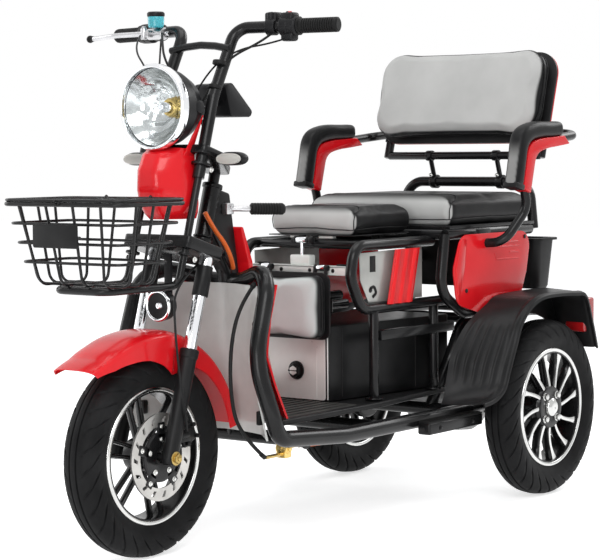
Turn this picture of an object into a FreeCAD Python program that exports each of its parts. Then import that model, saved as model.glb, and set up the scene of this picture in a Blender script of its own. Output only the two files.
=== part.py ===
import FreeCAD, Part
import math
import os

V = FreeCAD.Vector
os.makedirs("parts", exist_ok=True)

# Electric three-wheeled leisure moped, in millimetres.
# X points forward, Y to the rider's left, Z up from the ground.
# The origin lies on the ground under the middle of the whole length and width.

# Wheels and track
WHEELBASE = 1110.0
REAR_AXLE_X = -567.0
REAR_TRACK = 566.0
TYRE_OD = 420.0
TYRE_WIDTH = 83.0
RIM_BED_OD = 268.0
RIM_LIP_OD = 284.0
RIM_WIDTH = 62.0
RIM_LIP = 4.0
RIM_WALL = 5.0
FRONT_SPOKE_PAIRS = 6
FRONT_SPOKE_WIDTH = 11.0
FRONT_SPOKE_SPREAD = 30.0
FRONT_HUB_D = 66.0
REAR_SPOKES = 12
REAR_SPOKE_WIDTH = 13.0
REAR_HUB_D = 104.0
REAR_CAP_D = 46.0
LUG_NUTS = 4
LUG_CIRCLE_D = 76.0
LUG_NUT_D = 15.0
DISC_OD = 180.0
DISC_ID = 128.0
DISC_THICKNESS = 4.0
DISC_Y = 45.0
DISC_SLOTS = 15
DISC_SLOT_WIDTH = 5.0

# Steering head and fork
RAKE_DEG = 17.0
STEER_X_AT_AXLE_HEIGHT = 480.0
HEAD_TUBE_D = 38.0
HEAD_TOP_Z = 762.0
HEAD_BOTTOM_Z = 636.0
STEERER_D = 24.0
BEARING_GAP = 0.3
REST_GAP = 0.3
CROWN_TOP_Z = 618.0
CROWN_THICKNESS = 26.0
UPPER_CLAMP_Z = 800.0
UPPER_CLAMP_THICKNESS = 18.0
FORK_HALF_SPACING = 72.0
STANCHION_D = 28.0
FORK_LEG_D = 34.0
FORK_COLLAR_D = 40.0
FORK_COLLAR_LENGTH = 14.0
FORK_LEG_TOP = 225.0
FORK_LEG_FOOT = 14.0
AXLE_D = 14.0
AXLE_NUT_D = 24.0
AXLE_NUT_LENGTH = 10.0

# Handlebar
RISER_D = 25.0
STAY_D = 16.0
RISER_HALF_SPACING = 70.0
RISER_FORWARD = 129.0
BAR_TOP_Z = 1084.0
BAR_HALF_WIDTH = 300.0
BAR_END_X = 270.0
BAR_TOP_X = 316.0
CROSSBAR_D = 16.0
CROSSBAR_Z = 1040.0
GRIP_LENGTH = 88.0
GRIP_D = 31.0

# Headlamp, dash and apron
LAMP_D = 178.0
LAMP_X = 505.0
LAMP_Z = 919.0
LAMP_BUCKET_LENGTH = 112.0
LAMP_RIM_WIDTH = 9.0
LAMP_RIM_LENGTH = 14.0
LENS_RISE = 14.0
APRON_TOP_Z = 846.0
APRON_BOTTOM_Z = 690.0
APRON_HALF_WIDTH = 62.0
APRON_FRONT_X = 516.0
APRON_SIDE_X = 486.0
APRON_WALL = 3.0
SIGNAL_Y = 128.0
SIGNAL_X = 404.0
SIGNAL_Z = 813.0
SIGNAL_WIDTH = 68.0
SIGNAL_HEIGHT = 28.0
SIGNAL_DEPTH = 30.0

# Basket
BASKET_FRONT_X = 778.0
BASKET_REAR_X = 578.0
BASKET_HALF_WIDTH = 157.0
BASKET_RIM_Z = 728.0
BASKET_FLOOR_Z = 568.0
BASKET_TAPER = 34.0
BASKET_WIRE_D = 6.0
BASKET_RIM_D = 9.0
WIRE_BEND = 22.0
LID_GAP = 0.3
LID_EYE_Y = 60.0
PLATE_WIDTH = 120.0
PLATE_HEIGHT = 46.0
PLATE_THICKNESS = 2.0
FRONT_END_X = 790.0

# Front mudguard and horn
GUARD_THICKNESS = 3.0
GUARD_REAR_DEG = 171.0
GUARD_LUG_RISE = 186.0
GUARD_LUG_D = 14.0
HORN_D = 66.0
HORN_LENGTH = 34.0

# Main frame tubes
FRAME_TUBE_D = 35.0
FRAME_HALF_WIDTH = 212.0
FLOOR_TUBE_Z = 219.0
FLOOR_FRONT_X = 392.0
KNEE_HALF_WIDTH = 182.0
KNEE_X = 402.0
KNEE_Z = 400.0
SHOULDER_HALF_WIDTH = 176.0
SHOULDER_X = 340.0
SHOULDER_Z = 590.0
NECK_X = 266.0
NECK_Z = 550.0
NECK_HALF_WIDTH = 36.0
FRAME_REAR_X = -480.0
STEP_FRONT_X = -122.0
STEP_REAR_X = -344.0
STEP_OUTER_Y = 260.0
CROSS_TUBE_D = 30.0

# Floor and shields
FLOOR_TOP_Z = 270.0
FLOOR_THICKNESS = 12.0
FLOOR_HALF_WIDTH = 190.0
MAT_RIBS = 9
MAT_RIB_FIRST_X = 46.0
MAT_RIB_PITCH = 20.0
MAT_RIB_WIDTH = 8.0
MAT_RIB_HEIGHT = 3.0
MAT_RIB_HALF_LENGTH = 140.0
SHIELD_WALL = 4.0

# Seat box, battery and pads
BOX_FRONT_X = 27.0
BOX_REAR_X = -400.0
BOX_FRONT_HALF_WIDTH = 92.0
BOX_REAR_HALF_WIDTH = 132.0
BOX_TOP_Z = 438.0
BOX_WALL = 4.0
BATTERY_LENGTH = 330.0
BATTERY_WIDTH = 160.0
BATTERY_HEIGHT = 140.0

# Seats
SEAT_RAIL_D = 25.0
SEAT_RAIL_HALF_WIDTH = 152.0
SEAT_RAIL_TOP_Z = 617.0
SEAT_RAIL_BOTTOM_Z = 475.0
SEAT_RAIL_FRONT_X = 28.0
SEAT_RAIL_REAR_X = -268.0
SADDLE_FRONT_X = -22.0
SADDLE_REAR_X = -272.0
SADDLE_HALF_WIDTH = 127.0
SADDLE_BOTTOM_Z = 638.0
SADDLE_TOP_Z = 702.0
BENCH_FRONT_X = -279.0
BENCH_REAR_X = -668.0
BENCH_HALF_WIDTH = 215.0
BENCH_BOTTOM_Z = 646.0
BENCH_TOP_Z = 722.0
SHELF_FRONT_X = 27.0
SHELF_DEPTH = 34.0
SHELF_Z = 572.0
SHELF_THICKNESS = 4.0
SHELF_HALF_WIDTH = 138.0
SADDLE_HINGE_X = 2.0
SADDLE_HINGE_Z = 627.0
SADDLE_HINGE_D = 14.0
SADDLE_HINGE_LENGTH = 26.0
PAD_HINGE_X = 34.0
PAD_HINGE_Z = 568.0
PAD_HINGE_D = 9.0
PAD_HALF_WIDTH = 113.0
PAD_TOP_Z = 562.0
PAD_BOTTOM_Z = 405.0
PAD_BACK_X = 40.0
PAD_THICKNESS = 50.0
PAD_BOARD = 5.0
PAD_FOOT_D = 12.0

# Backrest and arms
BACK_RECLINE_DEG = 17.0
BACK_FOOT_X = -650.0
BACK_FOOT_Z = 840.0
BACK_HEIGHT = 236.0
BACK_HALF_WIDTH = 250.0
BACK_THICKNESS = 62.0
BACK_SHELL = 12.0
BACK_CORNER = 62.0
BACK_TUBE_D = 22.0
BACK_POST_Y = 226.0
ARM_Y = 305.0
ARM_WIDTH = 46.0
ARM_TUBE_D = 22.0
ARM_MOUNT_X = -419.0
ARM_MOUNT_D = 40.0

# Rear body
SIDE_PANEL_Y = 222.0
SIDE_PANEL_WALL = 4.0
BIN_FRONT_X = -690.0
BIN_REAR_X = -790.0
BIN_HALF_WIDTH = 200.0
BIN_TOP_Z = 606.0
BIN_BOTTOM_Z = 480.0
BIN_WALL = 3.0
BIN_RIM = 8.0
BIN_TAPER = 12.0
FENDER_INNER_Y = 236.0
FENDER_OUTER_Y = 346.0
FENDER_WALL = 4.0
FENDER_CLEARANCE = 12.0
FENDER_BEAD = 4.0
FENDER_BEAD_DEPTH = 11.0
FENDER_RIB_WIDTH = 6.0
FENDER_RIB_HEIGHT = 3.0
TAIL_LAMP_WIDTH = 60.0
TAIL_LAMP_HEIGHT = 90.0

# Rear axle, motor and springs
AXLE_TUBE_D = 46.0
MOTOR_D = 150.0
MOTOR_LENGTH = 170.0
BRAKE_DRUM_D = 130.0
BRAKE_DRUM_WIDTH = 26.0
SPRING_D = 48.0
SPRING_Y = 150.0
SUB_RAIL_Z = 424.0
SUB_RAIL_HALF_WIDTH = 150.0
SUB_RAIL_D = 28.0
SUB_CROSS_D = 24.0
NECK_TUBE_D = 31.0
GUSSET_HALF_WIDTH = 13.0

# How round sections and bends are drawn
WHEEL_SIDES = 48
LAMP_SIDES = 32
WIDE_FROM_D = 50.0
WIDE_FLATS = 24
TUBE_FLATS = 12
WIRE_FLATS = 6
SAME_POINT = 0.0001
BEND_STEP_DEG = 24.0
MITRED = 1

# Worked out places
WHEEL_RADIUS = TYRE_OD / 2
FRONT_AXLE_X = REAR_AXLE_X + WHEELBASE
TRACK_HALF = REAR_TRACK / 2
RAKE = math.radians(RAKE_DEG)
STEER_UP = V(-math.sin(RAKE), 0, math.cos(RAKE))
STEER_AHEAD = V(math.cos(RAKE), 0, math.sin(RAKE))
STEER_FOOT = V(STEER_X_AT_AXLE_HEIGHT, 0, WHEEL_RADIUS)
FORK_AHEAD = (FRONT_AXLE_X - STEER_X_AT_AXLE_HEIGHT) * math.cos(RAKE)


def steer_point(z, ahead=0.0, y=0.0):
    """The point at height z on a line ahead of the steering axis and parallel to it"""
    rise = (z - STEER_FOOT.z - STEER_AHEAD.z * ahead) / STEER_UP.z
    return STEER_FOOT + STEER_UP * rise + STEER_AHEAD * ahead + V(0, y, 0)


def both_sides(shape):
    """A left piece and its mirror image on the right"""
    return [shape, shape.mirror(V(0, 0, 0), V(0, 1, 0))]


def joined(shapes):
    """Pieces welded or moulded as one"""
    first = shapes[0]
    if len(shapes) == 1:
        return first
    return first.fuse(shapes[1:]).removeSplitter()


def bent_wire(points, radius, closed=False):
    """Straight runs joined by tangent arcs of one radius"""
    count = len(points)
    inner = range(count) if closed else range(1, count - 1)
    arcs = {}
    for i in inner:
        before = points[i - 1]
        corner = points[i]
        after = points[(i + 1) % count]
        to_before = (before - corner).normalize()
        to_after = (after - corner).normalize()
        half = to_before.getAngle(to_after) / 2
        reach = radius / math.tan(half)
        reach = min(reach, 0.46 * (before - corner).Length, 0.46 * (after - corner).Length)
        bend = reach * math.tan(half)
        middle = (to_before + to_after).normalize()
        centre = corner + middle * (bend / math.sin(half))
        arcs[i] = (corner + to_before * reach, centre - middle * bend, corner + to_after * reach)
    edges = []
    start = arcs[0][2] if closed else points[0]
    for i in range(1, count):
        end = arcs[i][0] if i in arcs else points[i]
        edges.append(Part.LineSegment(start, end).toShape())
        if i in arcs:
            edges.append(Part.Arc(*arcs[i]).toShape())
            start = arcs[i][2]
    if closed:
        edges.append(Part.LineSegment(start, arcs[0][0]).toShape())
        edges.append(Part.Arc(*arcs[0]).toShape())
    return Part.Wire(edges)


def faceted(rows, closed=False):
    """A solid through rows of points, its sides drawn as flat facets; closed rows run round a ring"""
    faces = []
    count = len(rows[0])
    for i in range(len(rows) if closed else len(rows) - 1):
        here = rows[i]
        there = rows[(i + 1) % len(rows)]
        for j in range(count):
            k = (j + 1) % count
            corners = [here[j]]
            for point in (here[k], there[k], there[j]):
                if (point - corners[-1]).Length > SAME_POINT and (point - corners[0]).Length > SAME_POINT:
                    corners.append(point)
            if len(corners) == 4:
                normal = (corners[1] - corners[0]).cross(corners[2] - corners[0]).normalize()
                if abs(normal.dot(corners[3] - corners[0])) > SAME_POINT:
                    faces.append(Part.Face(Part.makePolygon(corners[:3] + [corners[0]])))
                    corners = [corners[0], corners[2], corners[3]]
            if len(corners) > 2:
                faces.append(Part.Face(Part.makePolygon(corners + [corners[0]])))
    if not closed:
        for row in (rows[0], rows[-1]):
            corners = [point for i, point in enumerate(row) if (point - row[i - 1]).Length > SAME_POINT]
            faces.append(Part.Face(Part.makePolygon(corners + [corners[0]])))
    shell = Part.makeShell(faces)
    shell.sewShape()
    solid = Part.makeSolid(shell)
    if solid.Volume < 0:
        solid.reverse()
    return solid


def flats_for(diameter):
    return WIDE_FLATS if diameter > WIDE_FROM_D else TUBE_FLATS


def tube(points, diameter, bend=60.0, flats=0):
    """A bar or tube along straight runs and bends, its round section drawn with flats"""
    flats = flats or flats_for(diameter)
    stops = []
    for edge in bent_wire(points, bend).Edges:
        first = edge.FirstParameter
        span = edge.LastParameter - first
        curved = edge.Curve.TypeId == "Part::GeomCircle"
        steps = max(2, round(math.degrees(span) / BEND_STEP_DEG)) if curved else 1
        stops += [edge.valueAt(first + span * i / steps) for i in range(steps)]
    stops.append(points[-1])
    along = (stops[1] - stops[0]).normalize()
    across = along.cross(V(0, 0, 1) if abs(along.z) < 0.9 else V(0, 1, 0)).normalize()
    third = along.cross(across)
    corners = []
    for i in range(flats):
        turn = 2 * math.pi * (i + 0.5) / flats
        corners.append(stops[0] + (across * math.cos(turn) + third * math.sin(turn)) * (diameter / 2))
    section = Part.makePolygon(corners + [corners[0]])
    return Part.makePolygon(stops).makePipeShell([section], True, False, MITRED)


def rod(start, end, diameter):
    """A straight bar between two points, its round section drawn with flats"""
    return tube([start, end], diameter)


def pin(start, end, diameter):
    """A true cylinder, for pieces that turn in one another"""
    run = end - start
    return Part.makeCylinder(diameter / 2, run.Length, start, run)


def block(x0, x1, y0, y1, z0, z1, edge=0.0):
    """A box between six planes, with its edges bevelled"""
    solid = Part.makeBox(x1 - x0, y1 - y0, z1 - z0, V(x0, y0, z0))
    if edge > 0:
        solid = solid.makeChamfer(edge, solid.Edges)
    return solid


def pad_block(x0, x1, y0, y1, z0, z1, corner, shoulder):
    """A cushion's plain form: rounded corners in plan and a sloped shoulder round the top"""
    outline = [V(x0, y0, z0), V(x1, y0, z0), V(x1, y1, z0), V(x0, y1, z0)]
    solid = Part.Face(bent_wire(outline, corner, True)).extrude(V(0, 0, z1 - z0))
    return solid.makeChamfer(shoulder, [edge for edge in solid.Edges if edge.BoundBox.ZMin > z1 - 1])


def side_profile(points, radius, y0, y1):
    """A rounded outline in the XZ plane, drawn across from y0 to y1"""
    corners = [V(x, y0, z) for x, z in points]
    face = Part.Face(bent_wire(corners, radius, True))
    return face.extrude(V(0, y1 - y0, 0))


def turned(profile, y, sides=WHEEL_SIDES):
    """A closed outline of (y, radius) pairs turned about the wheel axis, in flat steps"""
    rows = []
    for i in range(sides):
        turn = 2 * math.pi * i / sides
        rows.append([V(radius * math.sin(turn), y + across, radius * math.cos(turn)) for across, radius in profile])
    return faceted(rows, True)


def save(name, shapes):
    """One node: a solid, or several solids that do not touch"""
    shape = shapes[0] if len(shapes) == 1 else Part.makeCompound(shapes)
    shape.exportStep("parts/" + name + ".step")


# Tyre: a ring with a rounded tread and full side walls, seated on the rim bed
def tyre(place):
    half = TYRE_WIDTH / 2
    seat = RIM_WIDTH / 2 - RIM_LIP
    lip = RIM_LIP_OD / 2
    left = [(seat, RIM_BED_OD / 2), (seat, lip + 2), (half - 2, lip + 16), (half, lip + 34),
            (half - 9, WHEEL_RADIUS - 15), (half - 24, WHEEL_RADIUS - 3)]
    right = [(-across, radius) for across, radius in left[::-1]]
    ring = turned(left + [(0, WHEEL_RADIUS)] + right, 0)
    ring.translate(place)
    return ring


def rim_barrel():
    """The rim's well with a lip at each side, about the Y axis"""
    bed = RIM_BED_OD / 2
    lip = RIM_LIP_OD / 2
    half = RIM_WIDTH / 2
    inner = bed - RIM_WALL
    return turned([(-half, inner), (half, inner), (half, lip), (half - RIM_LIP, lip),
                   (half - RIM_LIP, bed), (RIM_LIP - half, bed), (RIM_LIP - half, lip), (-half, lip)], 0)


def spoke(inner, outer, width, y0, y1, offset=0.0, sweep=0.0):
    """A flat bar from the hub to the barrel in the wheel plane, its tip swept sideways"""
    half = width / 2
    tip = math.sqrt(outer * outer - (offset + sweep + half) ** 2)
    corners = [V(offset - half, y0, inner), V(offset + half, y0, inner),
               V(offset + sweep + half, y0, tip), V(offset + sweep - half, y0, tip)]
    face = Part.Face(Part.makePolygon(corners + [corners[0]]))
    return face.extrude(V(0, y1 - y0, 0))


def round_the_wheel(shape, count, start=0.0):
    """Copies of a piece at even angles about the Y axis"""
    copies = []
    for i in range(count):
        copy = shape.copy()
        copy.rotate(V(0, 0, 0), V(0, 1, 0), start + 360.0 * i / count)
        copies.append(copy)
    return copies


# Front rim: cast hub and six twin spokes, bored for the axle
def front_rim():
    reach = RIM_BED_OD / 2 - RIM_WALL / 2
    pieces = [rim_barrel()]
    hub = rod(V(0, -RIM_WIDTH / 2, 0), V(0, RIM_WIDTH / 2, 0), FRONT_HUB_D)
    carrier = rod(V(0, RIM_WIDTH / 2, 0), V(0, DISC_Y, 0), FRONT_HUB_D - 12)
    pieces += [hub, carrier]
    for side in (-1, 1):
        bar = spoke(FRONT_HUB_D / 2 - 8, reach, FRONT_SPOKE_WIDTH, -9, 9, side * FRONT_SPOKE_SPREAD / 2.6,
                    side * FRONT_SPOKE_SPREAD / 6)
        pieces += round_the_wheel(bar, FRONT_SPOKE_PAIRS, 15)
    rim = joined(pieces)
    bore = pin(V(0, -2 * RIM_WIDTH, 0), V(0, 2 * RIM_WIDTH, 0), AXLE_D + 2 * BEARING_GAP)
    rim = rim.cut(bore)
    rim.translate(V(FRONT_AXLE_X, 0, WHEEL_RADIUS))
    return rim


# Brake disc: slotted ring on four arms over the hub's carrier
def brake_disc():
    ring = turned([(0, DISC_ID / 2), (DISC_THICKNESS, DISC_ID / 2), (DISC_THICKNESS, DISC_OD / 2), (0, DISC_OD / 2)],
                  DISC_Y)
    slot = block(-DISC_SLOT_WIDTH / 2, DISC_SLOT_WIDTH / 2, DISC_Y - 1, DISC_Y + DISC_THICKNESS + 1,
                 DISC_ID / 2 + 6, DISC_OD / 2 - 6)
    slot.rotate(V(0, 0, (DISC_ID + DISC_OD) / 4), V(0, 1, 0), 28)
    ring = ring.cut(round_the_wheel(slot, DISC_SLOTS))
    collar = turned([(0, AXLE_D / 2 + 5), (DISC_THICKNESS, AXLE_D / 2 + 5), (DISC_THICKNESS, FRONT_HUB_D / 2),
                     (0, FRONT_HUB_D / 2)], DISC_Y)
    arm = block(-9, 9, DISC_Y, DISC_Y + DISC_THICKNESS, FRONT_HUB_D / 2 - 6, DISC_ID / 2 + 3)
    disc = joined([ring, collar] + round_the_wheel(arm, 5))
    disc.translate(V(FRONT_AXLE_X, 0, WHEEL_RADIUS))
    return disc


# Rear rim: twelve swept spokes, flat hub with lug nuts and a round cap
def rear_rim(side):
    face_y = RIM_WIDTH / 2
    reach = RIM_BED_OD / 2 - RIM_WALL / 2
    hub = turned([(4, 0), (face_y - 2, 0), (face_y - 2, REAR_HUB_D / 2 - 6), (face_y - 8, REAR_HUB_D / 2),
                  (4, REAR_HUB_D / 2)], 0)
    cap = rod(V(0, face_y - 4, 0), V(0, face_y + 10, 0), REAR_CAP_D)
    bar = spoke(REAR_HUB_D / 2 - 8, reach, REAR_SPOKE_WIDTH, 8, face_y - 6, 0, 22)
    nut = tube([V(0, face_y - 4, LUG_CIRCLE_D / 2), V(0, face_y + 6, LUG_CIRCLE_D / 2)], LUG_NUT_D, 0, 6)
    rim = joined([rim_barrel(), hub, cap] + round_the_wheel(bar, REAR_SPOKES)
                 + round_the_wheel(nut, LUG_NUTS, 45))
    if side < 0:
        rim = rim.mirror(V(0, 0, 0), V(0, 1, 0))
    rim.translate(V(REAR_AXLE_X, side * TRACK_HALF, WHEEL_RADIUS))
    return rim


save("front_tyre", [tyre(V(FRONT_AXLE_X, 0, WHEEL_RADIUS))])
save("front_rim", [front_rim()])
save("brake_disc", [brake_disc()])
for name, side in (("left", 1), ("right", -1)):
    save("rear_tyre_" + name, [tyre(V(REAR_AXLE_X, side * TRACK_HALF, WHEEL_RADIUS))])
    save("rear_rim_" + name, [rear_rim(side)])


# Fork: crown with the steerer and upper clamp, chrome stanchions, black lower legs
crown_low = CROWN_TOP_Z - CROWN_THICKNESS


def clamp_plate(top_z, thickness, nose, shoulder, front, nose_half, half_width):
    """A plate square to the steering axis, narrow behind it, in the fork's own directions"""
    corners = [V(-nose, -nose_half, -thickness), V(shoulder, -half_width, -thickness), V(front, -half_width, -thickness),
               V(front, half_width, -thickness), V(shoulder, half_width, -thickness), V(-nose, nose_half, -thickness)]
    plate = Part.Face(bent_wire(corners, 10, True)).extrude(V(0, 0, thickness))
    plate.rotate(V(0, 0, 0), V(0, 1, 0), -RAKE_DEG)
    plate.translate(steer_point(top_z))
    return plate


steerer = pin(steer_point(crown_low + 4), steer_point(UPPER_CLAMP_Z - 3), STEERER_D)
crown = clamp_plate(CROWN_TOP_Z, CROWN_THICKNESS, 22, 34, RISER_FORWARD + STAY_D, 24, RISER_HALF_SPACING + 20)
upper = clamp_plate(UPPER_CLAMP_Z, UPPER_CLAMP_THICKNESS, 20, RISER_FORWARD - 40, RISER_FORWARD + RISER_D / 2 + 8, 24,
                    RISER_HALF_SPACING + RISER_D / 2 + 8)


def fork_line(rise, y=0.0):
    """A point up the fork's legs from the wheel axle"""
    return V(FRONT_AXLE_X, y, WHEEL_RADIUS) + STEER_UP * rise


def stanchion(y, diameter=STANCHION_D):
    foot = fork_line(FORK_LEG_TOP - 60, y)
    top = steer_point(CROWN_TOP_Z + 6, FORK_AHEAD, y)
    return rod(foot, top, diameter)


stanchions = [stanchion(side * FORK_HALF_SPACING) for side in (1, -1)]
riser_holes = [rod(steer_point(UPPER_CLAMP_Z - 60, RISER_FORWARD, side * RISER_HALF_SPACING),
                   steer_point(UPPER_CLAMP_Z + 60, RISER_FORWARD, side * RISER_HALF_SPACING), RISER_D)
               for side in (1, -1)]
stay_holes = [rod(steer_point(CROWN_TOP_Z - 80, RISER_FORWARD, side * RISER_HALF_SPACING),
                  steer_point(CROWN_TOP_Z + 60, RISER_FORWARD, side * RISER_HALF_SPACING), STAY_D)
              for side in (1, -1)]
save("fork_crown", [joined([crown, steerer, upper]).cut(stanchions + riser_holes + stay_holes)])
save("fork_stanchions", stanchions)


def lower_leg(y):
    leg = rod(fork_line(-FORK_LEG_FOOT, y), fork_line(FORK_LEG_TOP - 3, y), FORK_LEG_D)
    collar = rod(fork_line(FORK_LEG_TOP - FORK_COLLAR_LENGTH, y), fork_line(FORK_LEG_TOP, y), FORK_COLLAR_D)
    leg = joined([leg, collar])
    return leg.cut(stanchion(y))


legs = [lower_leg(side * FORK_HALF_SPACING) for side in (1, -1)]
spindle = rod(V(FRONT_AXLE_X, -FORK_HALF_SPACING - 20, WHEEL_RADIUS),
              V(FRONT_AXLE_X, FORK_HALF_SPACING + 20, WHEEL_RADIUS), AXLE_D)
nuts = [rod(V(FRONT_AXLE_X, side * (FORK_HALF_SPACING + 6), WHEEL_RADIUS),
            V(FRONT_AXLE_X, side * (FORK_HALF_SPACING + FORK_LEG_D / 2 + AXLE_NUT_LENGTH), WHEEL_RADIUS), AXLE_NUT_D)
        for side in (1, -1)]
caliper_lug = block(476, 528, DISC_Y + DISC_THICKNESS + 14 + REST_GAP, FORK_HALF_SPACING, 236, 262)
save("fork_lowers", [joined(legs + [spindle] + nuts + [caliper_lug])])

# Caliper: straddles the disc behind the left leg
caliper = block(-20, 20, DISC_Y - 12, DISC_Y + DISC_THICKNESS + 14, 58, 104, 5)
caliper_slot = block(-30, 30, DISC_Y - 1.5, DISC_Y + DISC_THICKNESS + 1.5, 50, 96)
caliper = caliper.cut(caliper_slot)
caliper.rotate(V(0, 0, 0), V(0, 1, 0), -62)
caliper.translate(V(FRONT_AXLE_X, 0, WHEEL_RADIUS))
save("brake_caliper", [caliper.cut(legs)])


# Handlebar: two risers bent out into the bars, a crossbar, and thinner stays below
def bar_side(side):
    y = side * RISER_HALF_SPACING
    foot = steer_point(UPPER_CLAMP_Z - UPPER_CLAMP_THICKNESS - 8, RISER_FORWARD, y)
    knee = steer_point(940, RISER_FORWARD, y)
    top = V(BAR_TOP_X, y, BAR_TOP_Z)
    return tube([foot, knee, top, V(BAR_END_X, side * BAR_HALF_WIDTH, BAR_TOP_Z)], RISER_D, 34)


crossbar_x = steer_point(CROSSBAR_Z, RISER_FORWARD).x - 12
crossbar = rod(V(crossbar_x, -RISER_HALF_SPACING - 14, CROSSBAR_Z), V(crossbar_x, RISER_HALF_SPACING + 14, CROSSBAR_Z),
               CROSSBAR_D)
bars = joined([bar_side(1), bar_side(-1), crossbar])


def along_bar(side, out):
    """A point on the bar's centreline, so far inboard from its end"""
    end = V(BAR_END_X, side * BAR_HALF_WIDTH, BAR_TOP_Z)
    start = V(BAR_TOP_X, side * RISER_HALF_SPACING, BAR_TOP_Z)
    return end + (start - end).normalize() * out


def sleeve(side, out_from, out_to, diameter):
    """A round sleeve on the bar"""
    a = along_bar(side, out_from)
    b = along_bar(side, out_to)
    return rod(a, b, diameter)


grips = []
for side in (1, -1):
    grip = joined([sleeve(side, -3, GRIP_LENGTH, GRIP_D), sleeve(side, GRIP_LENGTH - 4, GRIP_LENGTH, GRIP_D + 8)])
    grips.append(grip.cut(bars))
save("grips", grips)

# Switch housings and lever perches, with the brake lever and master cylinder on the right
controls = []
for side in (1, -1):
    housing = sleeve(side, GRIP_LENGTH + 1, GRIP_LENGTH + 41, 42)
    perch = sleeve(side, GRIP_LENGTH + 50, GRIP_LENGTH + 72, 36)
    centre = along_bar(side, GRIP_LENGTH + 61)
    boss = rod(centre, centre + V(6, 0, 30), 16)
    controls += [housing.cut(bars), joined([perch, boss]).cut(bars)]
right = along_bar(-1, GRIP_LENGTH + 61)
cylinder = rod(right + V(24, -14, -4), right + V(24, 34, -4), 24)
pivot = rod(right + V(44, -8, -16), right + V(44, -8, 8), 14)
link = block(right.x + 10, right.x + 48, right.y - 12, right.y + 8, right.z - 12, right.z + 4, 2)
lever = tube([right + V(44, -8, -4), right + V(66, -70, -6), right + V(56, -150, -10)], 11, 60)
ball = rod(right + V(58, -144, -10), right + V(54, -160, -10), 16)
controls[3] = joined([controls[3], cylinder, pivot, link, lever, ball]).cut(bars)
save("controls", controls)
reservoir = rod(right + V(36, 20, 8.3), right + V(36, 20, 42.3), 36)
save("fluid_reservoir", [reservoir])

# Headlamp: bucket, chrome rim and domed lens, held between the risers
lamp_back_x = LAMP_X - LAMP_BUCKET_LENGTH
bucket_profile = [(lamp_back_x, 0), (lamp_back_x, 34), (lamp_back_x + 26, 62),
                  (LAMP_X - LAMP_RIM_LENGTH, LAMP_D / 2 - 6), (LAMP_X - LAMP_RIM_LENGTH, 0)]


def about_lamp(profile):
    """An outline of (x, radius) pairs turned about the lamp's own axis"""
    solid = turned(profile, 0, LAMP_SIDES)
    solid.rotate(V(0, 0, 0), V(0, 0, 1), -90)
    solid.translate(V(0, 0, LAMP_Z))
    return solid


bucket = about_lamp(bucket_profile)
ears = [rod(V(lamp_back_x + 50, side * 40, LAMP_Z), V(lamp_back_x + 50, side * (RISER_HALF_SPACING + 8), LAMP_Z), 18)
        for side in (1, -1)]
save("headlamp_bucket", [joined([bucket] + ears).cut(bars)])
rim_in = LAMP_D / 2 - LAMP_RIM_WIDTH
save("headlamp_rim", [about_lamp([(LAMP_X - LAMP_RIM_LENGTH, rim_in), (LAMP_X + 2, rim_in), (LAMP_X, LAMP_D / 2),
                                  (LAMP_X - LAMP_RIM_LENGTH, LAMP_D / 2)])])
lens_profile = [(LAMP_X - LAMP_RIM_LENGTH, 0), (LAMP_X + LENS_RISE, 0), (LAMP_X + LENS_RISE * 0.8, rim_in * 0.5),
                (LAMP_X + 1, rim_in), (LAMP_X - LAMP_RIM_LENGTH, rim_in)]
save("headlamp_lens", [about_lamp(lens_profile)])

# Display: a wedge between the risers, behind the lamp
dash = side_profile([(302, 900), (322, 968), (296, 972), (228, 912), (236, 900)], 6, -62, 62)
dash_arm = block(310, lamp_back_x - REST_GAP, -20, 20, 922, 934)
save("display", [joined([dash, dash_arm]).cut(bars)])


# Apron under the lamp: a creased red shell, open at the back
def apron_shell(inset):
    sections = []
    for z, front, side_x, half in ((APRON_TOP_Z, APRON_FRONT_X, APRON_SIDE_X, APRON_HALF_WIDTH),
                                   (APRON_BOTTOM_Z + 46, APRON_FRONT_X + 4, APRON_SIDE_X, APRON_HALF_WIDTH + 3),
                                   (APRON_BOTTOM_Z, APRON_FRONT_X - 26, APRON_SIDE_X - 10, APRON_HALF_WIDTH - 16)):
        back = side_x - 46
        corners = [V(front - inset, 0, z), V(side_x - inset, half - inset, z), V(back, half - inset, z),
                   V(back, inset - half, z), V(side_x - inset, inset - half, z)]
        sections.append(corners)
    return faceted(sections)


# Turn signals: flat oval lamps on stalks from the upper clamp
signals = []
for side in (1, -1):
    lamp = block(SIGNAL_X - SIGNAL_DEPTH / 2, SIGNAL_X + SIGNAL_DEPTH / 2, side * SIGNAL_Y - SIGNAL_WIDTH / 2,
                 side * SIGNAL_Y + SIGNAL_WIDTH / 2, SIGNAL_Z - SIGNAL_HEIGHT / 2, SIGNAL_Z + SIGNAL_HEIGHT / 2, 11)
    stalk = rod(V(SIGNAL_X, side * (RISER_HALF_SPACING + RISER_D / 2 + 8.3), SIGNAL_Z), V(SIGNAL_X, side * SIGNAL_Y, SIGNAL_Z), 12)
    signals.append(joined([lamp, stalk]))
save("turn_signals", signals)

# Basket: rim, U-shaped wires and three rows, on two stays bent forward under its floor
mid_x = (BASKET_FRONT_X + BASKET_REAR_X) / 2
lid_z = BASKET_RIM_Z + BASKET_RIM_D / 2 + LID_GAP + BASKET_WIRE_D / 2


def wire_hoop(x0, x1, y, z, diameter):
    """A rectangular hoop of wire with rounded corners"""
    middle = (x0 + x1) / 2
    half = tube([V(middle, y, z), V(x0, y, z), V(x0, -y, z), V(middle, -y, z)], diameter, WIRE_BEND, WIRE_FLATS)
    front = tube([V(middle, y, z), V(x1, y, z), V(x1, -y, z), V(middle, -y, z)], diameter, WIRE_BEND, WIRE_FLATS)
    return joined([half, front])


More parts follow.
